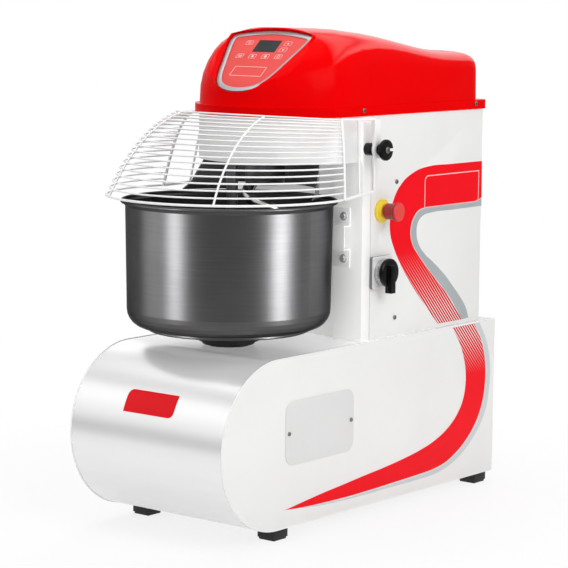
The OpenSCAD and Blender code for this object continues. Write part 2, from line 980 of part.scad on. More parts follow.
module lay_bearing_plates() {
    w = column_w - 2*sheet - 2;
    color(silver)
    for (z = [plate_low_z, plate_top_z])
        difference() {
            union() {
                translate([-w/2, lay_y - 60, z]) cube([w, 120, 6]);
                translate([0, lay_y, z]) cylinder(r = 36, h = 20);
            }
            translate([0, lay_y, z - 1]) cylinder(r = 20, h = 30);
            translate([0, lay_y, z + 6]) cylinder(r = 26 + run, h = 14.1);
        }
}

motor_z = base_top + 70;
motor_h = 240;
module motor_body() {
    fins = 24;
    color("#5c6166")
    translate([0, motor_y, motor_z])
        difference() {
            union() {
                cylinder(r = motor_r - 6, h = motor_h);
                cylinder(r = motor_r, h = 14);
                translate([0, 0, motor_h - 14]) cylinder(r = motor_r, h = 14);
                for (i = [0:fins - 1])
                    rotate(i*360/fins) translate([motor_r - 9, -1.5, 7])
                        cube([8, 3, motor_h - 14]);
                translate([-45, -motor_r - 14, 90]) cube([90, 40, 80]);
            }
            translate([0, 0, 30]) cylinder(r = 14 + run, h = motor_h);
        }
}

module motor_plate() {
    w = column_w - 2*sheet - 2;
    color(silver)
    difference() {
        translate([-w/2, motor_y - 88, motor_z + motor_h]) cube([w, 170, 8]);
        translate([0, motor_y, motor_z + motor_h - 1]) cylinder(r = 30, h = 10);
    }
}

module motor_shaft() {
    color(dark_steel)
    translate([0, motor_y, 0]) {
        translate([0, 0, motor_z + 40]) cylinder(r = 14, h = motor_belt_z + belt_h - motor_z - 36);
        translate([0, 0, motor_belt_z]) cylinder(r = motor_pulley_r, h = belt_h);
    }
}

// Outline of a belt round two pulleys on the middle plane
function belt_line(y1, r1, y2, r2) =
    let (d = y2 - y1, a = asin((r1 - r2)/d), steps = 24)
    concat(
        [for (i = [0:steps]) let (t = 180 - a + (180 + 2*a)*i/steps) [r1*cos(t), y1 + r1*sin(t)]],
        [for (i = [0:steps]) let (t = a + (180 - 2*a)*i/steps) [r2*cos(t), y2 + r2*sin(t)]]
    );
module belt(z, y1, r1, y2, r2) {
    translate([0, 0, z + 3]) linear_extrude(belt_h - 6)
        difference() {
            polygon(belt_line(y1, r1 + belt_gap + belt_t, y2, r2 + belt_gap + belt_t));
            polygon(belt_line(y1, r1 + belt_gap, y2, r2 + belt_gap));
        }
}

module drive_belts() {
    color(black_plastic) {
        belt(top_belt_z, spiral_y, spiral_pulley_r, lay_y, lay_top_r);
        belt(low_belt_z, bowl_y, bowl_pulley_r, lay_y, lay_low_r);
        belt(motor_belt_z, lay_y, lay_big_r, motor_y, motor_pulley_r);
    }
}

module control_box() {
    color(silver)
    translate([-column_hw + sheet, lay_y - 60, base_top + 110]) cube([60, 110, 170]);
}

gland_x = -110;
gland_z = base_top + 40;
gland_r = 10;
module cable_gland() {
    color(black_plastic)
    translate([gland_x, column_rear, gland_z]) rotate([-90, 0, 0])
        difference() {
            union() {
                translate([0, 0, -sheet - 8]) cylinder(r = gland_r - run, h = sheet + 9);
                cylinder(r = 14, h = 6, $fn = 6);
                translate([0, 0, 6]) cylinder(r1 = 12, r2 = 9, h = 8);
            }
            translate([0, 0, -20]) cylinder(r = 5, h = 50);
        }
}

base_wrap();
base_side_right();
base_side_left();
base_rear_cover();
base_access_cover();
access_cover_screws();
feet();
column_front();
column_side_right();
column_side_left();
column_rear_cover();
column_screws();
head_skirt();
head_floor();
head_cover();
head_cover_screws();
control_bezel();
control_overlay();
display_window();
control_keys();
rear_shield();
breaker_bar();
roller_bracket();
roller_bolts();
roller_pin();
guide_roller();
guard_pivots();
pivot_screws();
guard_wires();
guard_frame();
guard_arms();
guard_cams();
estop_collar();
estop_button();
switch_plate();
switch_collar();
switch_knob();
bowl_shell();
bowl_hub();
bowl_shaft();
bowl_pulley();
bowl_bearings();
bowl_bearing_housing();
spiral_hook();
spiral_hub();
spiral_pulley();
spiral_bearings();
spiral_bearing_housing();
lay_shaft();
lay_pulleys();
lay_bearings();
lay_bearing_plates();
motor_body();
motor_plate();
motor_shaft();
drive_belts();
control_box();
cable_gland();
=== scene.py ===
import json
import math
import bpy
from mathutils import Matrix, Vector

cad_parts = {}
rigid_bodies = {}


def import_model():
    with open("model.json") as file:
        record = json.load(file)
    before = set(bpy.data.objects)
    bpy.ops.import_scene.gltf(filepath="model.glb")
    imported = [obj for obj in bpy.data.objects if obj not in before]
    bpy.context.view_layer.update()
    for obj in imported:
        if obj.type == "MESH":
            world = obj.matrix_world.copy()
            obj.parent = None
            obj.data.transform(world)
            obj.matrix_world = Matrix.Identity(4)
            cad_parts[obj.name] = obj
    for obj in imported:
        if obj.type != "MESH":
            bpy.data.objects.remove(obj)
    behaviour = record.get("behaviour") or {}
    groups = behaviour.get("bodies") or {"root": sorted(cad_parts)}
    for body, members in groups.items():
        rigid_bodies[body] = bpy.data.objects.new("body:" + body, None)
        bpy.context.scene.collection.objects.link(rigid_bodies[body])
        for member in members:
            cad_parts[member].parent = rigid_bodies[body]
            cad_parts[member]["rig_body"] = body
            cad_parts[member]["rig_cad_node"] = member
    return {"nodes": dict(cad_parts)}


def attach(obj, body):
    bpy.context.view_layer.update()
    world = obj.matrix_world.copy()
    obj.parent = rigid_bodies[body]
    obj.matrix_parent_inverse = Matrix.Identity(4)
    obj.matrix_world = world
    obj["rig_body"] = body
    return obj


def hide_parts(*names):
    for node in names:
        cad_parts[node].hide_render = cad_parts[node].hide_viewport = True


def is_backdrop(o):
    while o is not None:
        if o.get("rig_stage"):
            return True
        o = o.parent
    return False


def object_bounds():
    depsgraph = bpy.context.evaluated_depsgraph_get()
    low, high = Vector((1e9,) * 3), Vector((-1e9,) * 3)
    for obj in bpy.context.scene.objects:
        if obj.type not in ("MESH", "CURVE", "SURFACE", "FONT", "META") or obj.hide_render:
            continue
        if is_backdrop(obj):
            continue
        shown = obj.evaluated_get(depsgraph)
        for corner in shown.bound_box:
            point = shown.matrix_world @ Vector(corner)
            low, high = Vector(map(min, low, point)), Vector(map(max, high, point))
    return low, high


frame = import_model()
cadBox = [list(corner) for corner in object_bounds()]
nodes = frame["nodes"]
slotOf = {name: part.data.materials[0].name for name, part in nodes.items()}
scene = bpy.context.scene
print("frame loaded:", len(nodes), "nodes")


def linear(code):  # "#rrggbb" as sRGB to linear RGBA
    parts = [int(code[i:i + 2], 16) / 255 for i in (1, 3, 5)]
    return [c / 12.92 if c <= 0.04045 else ((c + 0.055) / 1.055) ** 2.4 for c in parts] + [1.0]


def addNode(tree, kind, inputs=None, **settings):  # sockets are linked, plain values are set
    node = tree.nodes.new(kind)
    for key, value in settings.items():
        setattr(node, key, value)
    for key, value in (inputs or {}).items():
        if isinstance(value, bpy.types.NodeSocket):
            tree.links.new(value, node.inputs[key])
        else:
            node.inputs[key].default_value = value
    return node


# camera solved from the photograph's straight edges, rim and feet; metres, degrees, lens and sensor in mm
cameraSet = {"place": (2.7513, -3.4549, 1.0179), "turn": 38.77, "dip": 7.51, "roll": 0.52,
             "lens": 144.86, "sensor": 36, "reach": 60}
turn, dip, roll = (math.radians(cameraSet[key]) for key in ("turn", "dip", "roll"))
ahead = Vector((-math.sin(turn) * math.cos(dip), math.cos(turn) * math.cos(dip), -math.sin(dip)))
level = Vector((math.cos(turn), math.sin(turn), 0))
upright = level.cross(ahead)
across = level * math.cos(roll) + upright * math.sin(roll)
upward = upright * math.cos(roll) - level * math.sin(roll)
bpy.ops.object.select_all(action="DESELECT")
bpy.ops.object.camera_add()
camera = bpy.context.active_object
camera.data.lens = cameraSet["lens"]
camera.data.sensor_width = cameraSet["sensor"]
camera.data.clip_end = cameraSet["reach"]
aimed = Matrix((across, upward, -ahead)).transposed().to_4x4()
camera.matrix_world = Matrix.Translation(cameraSet["place"]) @ aimed
scene.camera = camera
scene.view_settings.view_transform = "Standard"

# white to the eye, a calm grey for the light that it gives; mirrors see a white room with soft bands,
# each at the sine of its height with its strength
studio = {"ambient": 0.5, "floor": "#f3f3f2", "floorSize": 9.0, "floorSides": 96,
          "fadeFrom": 0.4, "fadeTo": 1.1, "keep": 0.8, "farFrom": 1.2, "farTo": 2.4, "farDim": 0.42,
          "bands": [(0.0, 0.32), (0.07, 0.42), (0.16, 0.9), (0.26, 1.0), (0.36, 1.08), (0.46, 1.3),
                    (0.6, 1.4), (0.66, 0.65), (0.71, 0.15), (0.77, 1.0), (1.0, 1.0)]}


def rayKinds(tree):  # the rays that mirrors and glass send on, and these with the camera's own
    path = addNode(tree, "ShaderNodeLightPath").outputs
    sentOn = {0: path["Is Glossy Ray"], 1: path["Is Transmission Ray"]}
    mirrors = addNode(tree, "ShaderNodeMath", sentOn, operation="MAXIMUM").outputs[0]
    direct = {0: path["Is Camera Ray"], 1: mirrors}
    seen = addNode(tree, "ShaderNodeMath", direct, operation="MAXIMUM").outputs[0]
    return mirrors, seen


scene.world = bpy.data.worlds.new("studioWorld")
scene.world.use_nodes = True
tree = scene.world.node_tree
tree.nodes.clear()
mirrors, seen = rayKinds(tree)
heading = addNode(tree, "ShaderNodeTexCoord").outputs["Generated"]
height = addNode(tree, "ShaderNodeSeparateXYZ", {0: heading}).outputs["Z"]
ramp = addNode(tree, "ShaderNodeValToRGB", {"Fac": height})
while len(ramp.color_ramp.elements) < len(studio["bands"]):
    ramp.color_ramp.elements.new(0.5)
for stop, (sine, strength) in zip(ramp.color_ramp.elements, studio["bands"]):
    stop.position = sine
    stop.color = (strength, strength, strength, 1)
bands = addNode(tree, "ShaderNodeMix", {0: mirrors, 6: linear("#ffffff"), 7: ramp.outputs["Color"]},
                data_type="RGBA").outputs[2]
calm = addNode(tree, "ShaderNodeBackground", {"Color": linear("#ffffff"), "Strength": studio["ambient"]})
white = addNode(tree, "ShaderNodeBackground", {"Color": bands, "Strength": 1.0})
sky = addNode(tree, "ShaderNodeMixShader", {0: seen, 1: calm.outputs[0], 2: white.outputs[0]})
addNode(tree, "ShaderNodeOutputWorld", {"Surface": sky.outputs[0]})

# floor: matt paper that keeps the shadow near the object and is white further out
bpy.ops.object.select_all(action="DESELECT")
bpy.ops.mesh.primitive_circle_add(vertices=studio["floorSides"], radius=studio["floorSize"], fill_type="NGON")
floor = bpy.context.active_object
floor.name = "studioFloor"
paper = bpy.data.materials.new("studioPaper")
paper.use_nodes = True
tree = paper.node_tree
tree.nodes.clear()
mirrors, seen = rayKinds(tree)
where = addNode(tree, "ShaderNodeTexCoord").outputs["Object"]
away = addNode(tree, "ShaderNodeVectorMath", {0: where}, operation="LENGTH").outputs["Value"]
near = addNode(tree, "ShaderNodeMapRange",
               {"Value": away, "From Min": studio["fadeFrom"], "From Max": studio["fadeTo"],
                "To Min": studio["keep"], "To Max": 1.0}, interpolation_type="SMOOTHSTEP").outputs[0]
share = addNode(tree, "ShaderNodeMath", {0: near, 1: seen}, operation="MULTIPLY").outputs[0]
dim = addNode(tree, "ShaderNodeMapRange",
              {"Value": away, "From Min": studio["farFrom"], "From Max": studio["farTo"],
               "To Min": 1.0, "To Max": studio["farDim"]}, interpolation_type="SMOOTHSTEP").outputs[0]
shine = addNode(tree, "ShaderNodeMix", {0: mirrors, 2: 1.0, 3: dim}).outputs[0]
matt = addNode(tree, "ShaderNodeBsdfDiffuse", {"Color": linear(studio["floor"])})
glow = addNode(tree, "ShaderNodeEmission", {"Color": linear("#ffffff"), "Strength": shine})
mixed = addNode(tree, "ShaderNodeMixShader", {0: share, 1: matt.outputs[0], 2: glow.outputs[0]})
addNode(tree, "ShaderNodeOutputMaterial", {"Surface": mixed.outputs[0]})
floor.data.materials.append(paper)
floor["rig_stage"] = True

bowlMiddle = (0, -0.195, 0.5)  # on the bowl's axis, where the strips aim
# lamps: place, aim, width, height, watts
softboxes = {
    "keyBox": ((3.2, -0.7, 2.4), (0, 0, 0.45), 2.4, 2.0, 56),
    "topBox": ((-0.4, -0.6, 3.3), (0, 0, 0.6), 2.6, 2.2, 34),
    "frontBox": ((-2.6, -3.0, 1.9), (0, -0.1, 0.45), 1.8, 1.8, 12),
    "backBox": ((-1.6, 3.2, 2.2), (0, 0, 0.5), 2.4, 2.0, 44),
}
dullBoxes = ("frontBox", "backBox")  # no mirror shows these
bowlStrips = {
    "stripLeft": ((-0.72, -2.27, 0.28), bowlMiddle, 0.62, 0.66, 20),
    "stripRight": ((2.18, 0.06, 0.28), bowlMiddle, 0.66, 0.66, 29),
    "stripRear": ((0.5, 2.61, 0.3), bowlMiddle, 4.2, 0.6, 18),
    "stripSide": ((-3.0, 0.2, 0.3), bowlMiddle, 1.6, 0.6, 4.2),
    "stripSoft": ((-2.05, -1.8, 0.28), bowlMiddle, 1.2, 0.6, 7.5),
}
# soft fills, each for a few pieces: the recess behind the bowl, the sheet in it, the base under the bowl
fills = {
    "recessFill": ((1.9, -2.7, 1.0), (0, 0.0, 0.55), 1.6, 1.4, 26),
    "sheetFill": ((-1.5, -2.6, 0.95), (0, -0.1, 0.68), 1.0, 0.8, 20),
    "underFill": ((0, -0.195, 0.6), (0, -0.195, 0.3), 0.34, 0.34, 1.7),
}


def addLamp(name, place, aim, width, height, watts):
    bpy.ops.object.select_all(action="DESELECT")
    bpy.ops.object.light_add(type="AREA", location=place)
    lamp = bpy.context.active_object
    lamp.name = name
    lamp.data.shape = "RECTANGLE"
    lamp.data.size = width
    lamp.data.size_y = height
    lamp.data.energy = watts
    lamp.rotation_euler = (Vector(aim) - Vector(place)).to_track_quat("-Z", "Y").to_euler()
    lamp.visible_camera = False
    return lamp


for name, values in softboxes.items():
    addLamp(name, *values).visible_glossy = name not in dullBoxes
spunGroup = bpy.data.collections.new("spunPieces")  # the strips light only these, as upright streaks
for name, values in bowlStrips.items():
    strip = addLamp(name, *values)
    strip.visible_diffuse = False
    strip.light_linking.receiver_collection = spunGroup
openGroup = bpy.data.collections.new("openPieces")  # only the floor, so a fill shines past all other pieces
openGroup.objects.link(floor)
fillGroups = {}
for name, values in fills.items():
    fill = addLamp(name, *values)
    fill.visible_glossy = False
    fillGroups[name] = bpy.data.collections.new(name + "Pieces")
    fill.light_linking.receiver_collection = fillGroups[name]
    fill.light_linking.blocker_collection = openGroup
print("studio ready")

finish = {}


def newMaterial(name, sockets):
    material = bpy.data.materials.new(name)
    material.use_nodes = True
    surface = material.node_tree.nodes["Principled BSDF"]
    for key, value in sockets.items():
        surface.inputs[key].default_value = value
    finish[name] = material
    return material.node_tree, surface


# how the noise spreads over a mottled finish, and the relief where the finish gives none
mottle = {"patchDetail": 3.0, "patchSoft": 0.55, "grainDetail": 2.0, "toneFrom": 0.32, "toneTo": 0.68,
          "blurFrom": 0.3, "blurTo": 0.7, "depth": 0.1, "high": 0.1}


def mottled(name, look, sockets=None):
    # two close colours in soft patches, roughness between two values, a fine relief; sizes in mm
    tree, surface = newMaterial(name, {"Metallic": look.get("metal", 0.0), **(sockets or {})})
    where = addNode(tree, "ShaderNodeTexCoord").outputs["Object"]
    stretch = look.get("run", (1, 1, 1))
    run = addNode(tree, "ShaderNodeMapping", {"Vector": where, "Scale": stretch}).outputs[0]
    patch = addNode(tree, "ShaderNodeTexNoise",
                    {"Vector": run, "Scale": 1000 / look["patch"],
                     "Detail": mottle["patchDetail"], "Roughness": mottle["patchSoft"]}).outputs[0]
    grain = addNode(tree, "ShaderNodeTexNoise", {"Vector": run, "Scale": 1000 / look["grain"],
                                                 "Detail": mottle["grainDetail"]}).outputs[0]
    tone = addNode(tree, "ShaderNodeMapRange", {"Value": patch, "From Min": mottle["toneFrom"],
                                                "From Max": mottle["toneTo"]}).outputs[0]
    first, second = (linear(code) for code in look["colours"])
    colour = addNode(tree, "ShaderNodeMix", {0: tone, 6: first, 7: second}, data_type="RGBA").outputs[2]
    smoothest, roughest = look["rough"]
    blur = addNode(tree, "ShaderNodeMapRange",
                   {"Value": grain, "From Min": mottle["blurFrom"], "From Max": mottle["blurTo"],
                    "To Min": smoothest, "To Max": roughest}).outputs[0]
    relief = addNode(tree, "ShaderNodeBump",
                     {"Height": grain, "Strength": look.get("depth", mottle["depth"]),
                      "Distance": look.get("high", mottle["high"]) / 1000}).outputs[0]
    tree.links.new(colour, surface.inputs["Base Color"])
    tree.links.new(blur, surface.inputs["Roughness"])
    tree.links.new(relief, surface.inputs["Normal"])
    return tree, surface


def facing(tree, axis, start, end):  # 0 to 1 as the surface turns from start to end, to or against the axis
    normal = addNode(tree, "ShaderNodeNewGeometry").outputs["Normal"]
    along = addNode(tree, "ShaderNodeSeparateXYZ", {0: normal}).outputs[axis]
    size = addNode(tree, "ShaderNodeMath", {0: along}, operation="ABSOLUTE").outputs[0]
    return addNode(tree, "ShaderNodeMapRange", {"Value": size, "From Min": start, "From Max": end}).outputs[0]


def paintShadedSides(name, look, shadeColour, axis, start, end):  # mottled, with a painted shade colour on faces that turn away from the axis
    tree, surface = mottled(name, look)
    front = surface.inputs["Base Color"].links[0].from_socket
    turned = facing(tree, axis, start, end)
    both = addNode(tree, "ShaderNodeMix", {0: turned, 6: linear(shadeColour), 7: front}, data_type="RGBA")
    tree.links.new(both.outputs[2], surface.inputs["Base Color"])


# powder coat, sprayed and baked on sheet steel: an even soft gloss with a faint orange peel,
# drawn at 5 mm to show
mottled("whitePowderCoat", {"colours": ("#f3f3f2", "#efefee"), "rough": (0.34, 0.44), "patch": 160,
                            "grain": 5, "high": 0.12})
# the same coat from another batch, a shade greyer
mottled("greyPowderCoat", {"colours": ("#e4e4e4", "#e0e0e0"), "rough": (0.34, 0.44), "patch": 160,
                           "grain": 5, "high": 0.12})
# satin stainless sheet, brushed along its width: broad soft reflections with a faint level grain,
# drawn 3 mm apart to show
mottled("satinStainless", {"colours": ("#ececec", "#e7e7e7"), "metal": 0.55, "rough": (0.22, 0.27),
                           "patch": 60, "grain": 3, "run": (0.02, 1, 1), "depth": 0.015, "high": 0.05})
# the same sheet, paler, with hardly a reflection: a lit copy for the skirt, its paleness painted light
mottled("paleLitStainless", {"colours": ("#f4f4f4", "#eeeeee"), "metal": 0.25, "rough": (0.4, 0.5),
                             "patch": 60, "grain": 3, "depth": 0.015, "high": 0.05})
# polished stainless bar: bright lines along the bends with dark between
mottled("polishedStainless", {"colours": ("#c9c9c8", "#b4b4b3"), "metal": 1.0, "rough": (0.14, 0.24),
                              "patch": 40, "grain": 6, "depth": 0.04})
# turned stainless bar, scotched, with lathe lines; its dark grey is painted shade, the dark inside the bowl
# under the head
mottled("shadedStainless", {"colours": ("#77787a", "#66676a"), "metal": 1.0, "rough": (0.26, 0.38),
                            "patch": 60, "grain": 4, "run": (0.05, 0.05, 1), "depth": 0.05})
# rolled stainless sheet, soft, with an upright grain; its mid grey is painted shade, the shade under the head
mottled("rolledStainless", {"colours": ("#7c7d7f", "#6c6d6f"), "metal": 0.7, "rough": (0.3, 0.42),
                            "patch": 60, "grain": 4, "run": (1, 1, 0.05), "depth": 0.05})
# cast iron with a thin dark primer: grainy and dull
mottled("castIron", {"colours": ("#3d3e40", "#2f3032"), "metal": 0.7, "rough": (0.45, 0.62),
                     "patch": 25, "grain": 3, "depth": 0.3, "high": 0.2})
# turned mild steel: clear reflections with fine rings
mottled("turnedSteel", {"colours": ("#b9babb", "#a6a7a8"), "metal": 1.0, "rough": (0.22, 0.36),
                        "patch": 20, "grain": 2, "run": (1, 1, 8), "depth": 0.08})
# zinc-plated steel: grey with a faint warm tone
mottled("zincPlate", {"colours": ("#92928e", "#7c7c78"), "metal": 1.0, "rough": (0.24, 0.4),
                      "patch": 6, "grain": 1.2, "depth": 0.08})
# brushed aluminium trim: pale grey and soft
mottled("brushedAluminium", {"colours": ("#aeaaac", "#a19d9f"), "metal": 0.75, "rough": (0.34, 0.46),
                             "patch": 24, "grain": 2, "run": (0.1, 1, 1), "depth": 0.06})
# red ABS, vacuum formed: a deep even red, with a painted sheen by facing: its upper faces, told by the
# normal's part along Z, and along Y for the front, reflect strongly and its walls hardly at all
sheenByFacing = {"rise": (0.38, 0.46), "front": (0.42, 0.3), "least": 0.02, "most": 0.75}
tree, surface = mottled("redAbs", {"colours": ("#f00205", "#ea0205"), "rough": (0.14, 0.2), "patch": 220,
                                   "grain": 24, "depth": 0.03, "high": 0.3})
# painted reflection: how strongly the red reflects is set by which way each face turns
turned = {0: facing(tree, "Z", *sheenByFacing["rise"]), 1: facing(tree, "Y", *sheenByFacing["front"])}
upper = addNode(tree, "ShaderNodeMath", turned, operation="MULTIPLY").outputs[0]
paintedSheen = addNode(tree, "ShaderNodeMapRange", {"Value": upper, "To Min": sheenByFacing["least"],
                                             "To Max": sheenByFacing["most"]}).outputs[0]
tree.links.new(paintedSheen, surface.inputs["Specular IOR Level"])
# printed polyester film: flat salmon red with a fine pebble
mottled("polyesterFilm", {"colours": ("#e84f4a", "#e44a46"), "rough": (0.4, 0.5), "patch": 60,
                          "grain": 2.4, "depth": 0.08}, {"Specular IOR Level": 0.2})
# tinted acrylic window, matt against glare: dark and even from any side
mottled("tintedWindow", {"colours": ("#12191b", "#0f1517"), "rough": (0.42, 0.5), "patch": 40,
                         "grain": 8, "depth": 0.02}, {"Specular IOR Level": 0.22})
# screen-printed ink: pale, flat and matt
mottled("paleInk", {"colours": ("#f6c9c5", "#f0bdb9"), "rough": (0.45, 0.55), "patch": 20, "grain": 2})
# black moulded nylon: near black, with small clear lights on its edges
mottled("blackNylon", {"colours": ("#040404", "#070707"), "rough": (0.14, 0.22), "patch": 14,
                       "grain": 4, "depth": 0.04}, {"Specular IOR Level": 0.22})
# black moulded rubber: matt, dusty
mottled("footRubber", {"colours": ("#161616", "#202020"), "rough": (0.6, 0.8), "patch": 18,
                       "grain": 2, "depth": 0.2})
# yellow moulded nylon: even, with a satin sheen
mottled("yellowNylon", {"colours": ("#f4da3a", "#eed232"), "rough": (0.34, 0.46), "patch": 10,
                        "grain": 1.6, "depth": 0.1})
# red polycarbonate button: a satin face; its neck and sides a deeper red, painted shade set by which way they
# face
paintShadedSides("redButton", {"colours": ("#ea443e", "#e33d38"), "rough": (0.34, 0.46), "patch": 12,
                      "grain": 1.6, "depth": 0.06}, "#a3121a", "X", 0.5, 0.95)
# satin aluminium plate on its gasket: a pale face; its edges a grey that is painted shade, set by which way
# they face
paintShadedSides("satinPlate", {"colours": ("#f1f1f1", "#eaeaea"), "metal": 0.3, "rough": (0.3, 0.4), "patch": 24,
                       "grain": 3, "depth": 0.03}, "#7b7a7c", "X", 0.2, 0.7)
# white nylon-dipped wire: thick, round, soft gloss
mottled("dippedWire", {"colours": ("#fafafa", "#f4f4f4"), "rough": (0.28, 0.4), "patch": 30,
                       "grain": 3, "depth": 0.08})
# enamel over a casting: mid grey, dull and pebbled
mottled("motorEnamel", {"colours": ("#6f7478", "#676c70"), "rough": (0.4, 0.55), "patch": 30,
                        "grain": 2.5, "depth": 0.2})
# cast vinyl film, in two greys: flat, with a soft sheen
mottled("paleGreyVinyl", {"colours": ("#cfd5d8", "#c9cfd2"), "rough": (0.32, 0.42), "patch": 80,
                          "grain": 6, "depth": 0.05})
mottled("greyVinyl", {"colours": ("#adb4b7", "#a7aeb1"), "rough": (0.32, 0.42), "patch": 80,
                      "grain": 6, "depth": 0.05})
# the same film in plain red, with less of a sheen
mottled("plainRedVinyl", {"colours": ("#ea0c1c", "#e40818"), "rough": (0.28, 0.38), "patch": 80,
                          "grain": 6, "depth": 0.05}, {"Specular IOR Level": 0.15})

# red vinyl with a printed fade: straight pale lines about 4.5 mm apart, drawn at 5.8 mm to show,
# that widen and clear towards the ledge, on a red that deepens with them; heights in metres
fade = {"pitch": 5.8, "lean": 46.0, "top": 0.5, "middle": 0.34, "low": 0.235, "least": 0.2, "most": 0.37,
        "clear": 0.75, "deepRed": "#c40f24", "lines": "#f6ecec"}
tree, surface = mottled("redVinyl", {"colours": ("#f80a1d", "#f4081a"), "rough": (0.3, 0.4), "patch": 80,
                                     "grain": 6, "depth": 0.05}, {"Specular IOR Level": 0.08})
plain = surface.inputs["Base Color"].links[0].from_socket
where = addNode(tree, "ShaderNodeTexCoord").outputs["Object"]
place = addNode(tree, "ShaderNodeSeparateXYZ", {0: where}).outputs
lean = math.radians(fade["lean"])
halfLines = 2000 / fade["pitch"]  # line and gap, per metre
rearward = {0: place["Y"], 1: math.sin(lean) * halfLines}
slide = addNode(tree, "ShaderNodeMath", rearward, operation="MULTIPLY").outputs[0]
rising = {0: place["Z"], 1: math.cos(lean) * halfLines, 2: slide}
count = addNode(tree, "ShaderNodeMath", rising, operation="MULTIPLY_ADD").outputs[0]
wave = addNode(tree, "ShaderNodeMath", {0: count, 1: 1.0}, operation="PINGPONG").outputs[0]
upper = addNode(tree, "ShaderNodeMapRange", {"Value": place["Z"], "From Min": fade["top"],
                                             "From Max": fade["middle"]}).outputs[0]
lower = addNode(tree, "ShaderNodeMapRange", {"Value": place["Z"], "From Min": fade["low"],
                                             "From Max": fade["middle"]}).outputs[0]
depth = addNode(tree, "ShaderNodeMath", {0: upper, 1: lower}, operation="MINIMUM").outputs[0]
width = addNode(tree, "ShaderNodeMapRange", {"Value": depth, "To Min": fade["least"],
                                             "To Max": fade["most"]}).outputs[0]
clear = addNode(tree, "ShaderNodeMapRange", {"Value": depth, "From Max": fade["clear"]}).outputs[0]
line = addNode(tree, "ShaderNodeMath", {0: wave, 1: width}, operation="LESS_THAN").outputs[0]
shown = addNode(tree, "ShaderNodeMath", {0: line, 1: clear}, operation="MULTIPLY").outputs[0]
deep = addNode(tree, "ShaderNodeMix", {0: depth, 6: plain, 7: linear(fade["deepRed"])},
               data_type="RGBA").outputs[2]
lined = addNode(tree, "ShaderNodeMix", {0: shown, 6: deep, 7: linear(fade["lines"])}, data_type="RGBA")
tree.links.new(lined.outputs[2], surface.inputs["Base Color"])

# bowl of spun stainless with fine level lathe lines about 1 mm apart, drawn at 2.5 mm to show; its dark grey
# base colour and grey specular tint are painted reflection, standing in for a dark room seen in the mirror
lathe = {"lines": 2.5, "stretch": (0.03, 0.03, 1), "haze": 70, "detail": 3.0, "toneFrom": 0.15,
         "toneTo": 0.36, "colours": ("#5a5a5b", "#555556"), "rough": (0.31, 0.35), "tint": "#949494",
         "depth": 0.01, "high": 0.1}
tree, surface = newMaterial("spunStainless", {"Metallic": 1.0, "Specular Tint": linear(lathe["tint"])})
where = addNode(tree, "ShaderNodeTexCoord").outputs["Object"]
ringsAt = addNode(tree, "ShaderNodeMapping", {"Vector": where, "Scale": lathe["stretch"]}).outputs[0]
rings = addNode(tree, "ShaderNodeTexNoise", {"Vector": ringsAt, "Scale": 1000 / lathe["lines"],
                                             "Detail": lathe["detail"]}).outputs[0]
haze = addNode(tree, "ShaderNodeTexNoise", {"Vector": where, "Scale": 1000 / lathe["haze"],
                                            "Detail": lathe["detail"]}).outputs[0]
hazy = addNode(tree, "ShaderNodeMath", {0: rings, 1: haze}, operation="MULTIPLY").outputs[0]
tone = addNode(tree, "ShaderNodeMapRange", {"Value": hazy, "From Min": lathe["toneFrom"],
                                            "From Max": lathe["toneTo"]}).outputs[0]
first, second = (linear(code) for code in lathe["colours"])
colour = addNode(tree, "ShaderNodeMix", {0: tone, 6: first, 7: second}, data_type="RGBA").outputs[2]
smoothest, roughest = lathe["rough"]
blur = addNode(tree, "ShaderNodeMapRange", {"Value": rings, "To Min": smoothest,
                                            "To Max": roughest}).outputs[0]
relief = addNode(tree, "ShaderNodeBump", {"Height": rings, "Strength": lathe["depth"],
                                          "Distance": lathe["high"] / 1000}).outputs[0]
tree.links.new(colour, surface.inputs["Base Color"])
tree.links.new(blur, surface.inputs["Roughness"])
tree.links.new(relief, surface.inputs["Normal"])
print("finishes made:", len(finish))


def selectOnly(*pieces):
    bpy.ops.object.select_all(action="DESELECT")
    for piece in pieces:
        piece.select_set(True)
    bpy.context.view_layer.objects.active = pieces[0]


def pick(piece, kind, test):  # enters edit mode with only the faces or edges that pass the test selected
    selectOnly(piece)
    bpy.ops.object.mode_set(mode="EDIT")
    bpy.ops.mesh.select_mode(type=kind)
    bpy.ops.mesh.select_all(action="DESELECT")
    bpy.ops.object.mode_set(mode="OBJECT")
    for item in piece.data.polygons if kind == "FACE" else piece.data.edges:
        item.select = test(item)
    bpy.ops.object.mode_set(mode="EDIT")


def applyModifier(piece, kind, **settings):
    selectOnly(piece)
    modifier = piece.modifiers.new(kind.lower(), kind)
    for key, value in settings.items():
        setattr(modifier, key, value)
    bpy.ops.object.modifier_apply(modifier=modifier.name)


def breakEdges(piece, radius, steps, bevelFrom):  # radius in mm, on edges sharper than bevelFrom degrees
    applyModifier(piece, "BEVEL", width=radius / 1000, segments=steps, limit_method="ANGLE",
                  angle_limit=math.radians(bevelFrom))


def smooth(piece, angle):
    selectOnly(piece)
    bpy.ops.object.shade_smooth_by_angle(angle=math.radians(angle))


def hangOn(piece, body, material, slot, *stands):  # stands are the CAD nodes that the piece stands in for
    piece.data.materials.clear()
    piece.data.materials.append(finish[material])
    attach(piece, body)
    if stands:
        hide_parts(*stands)


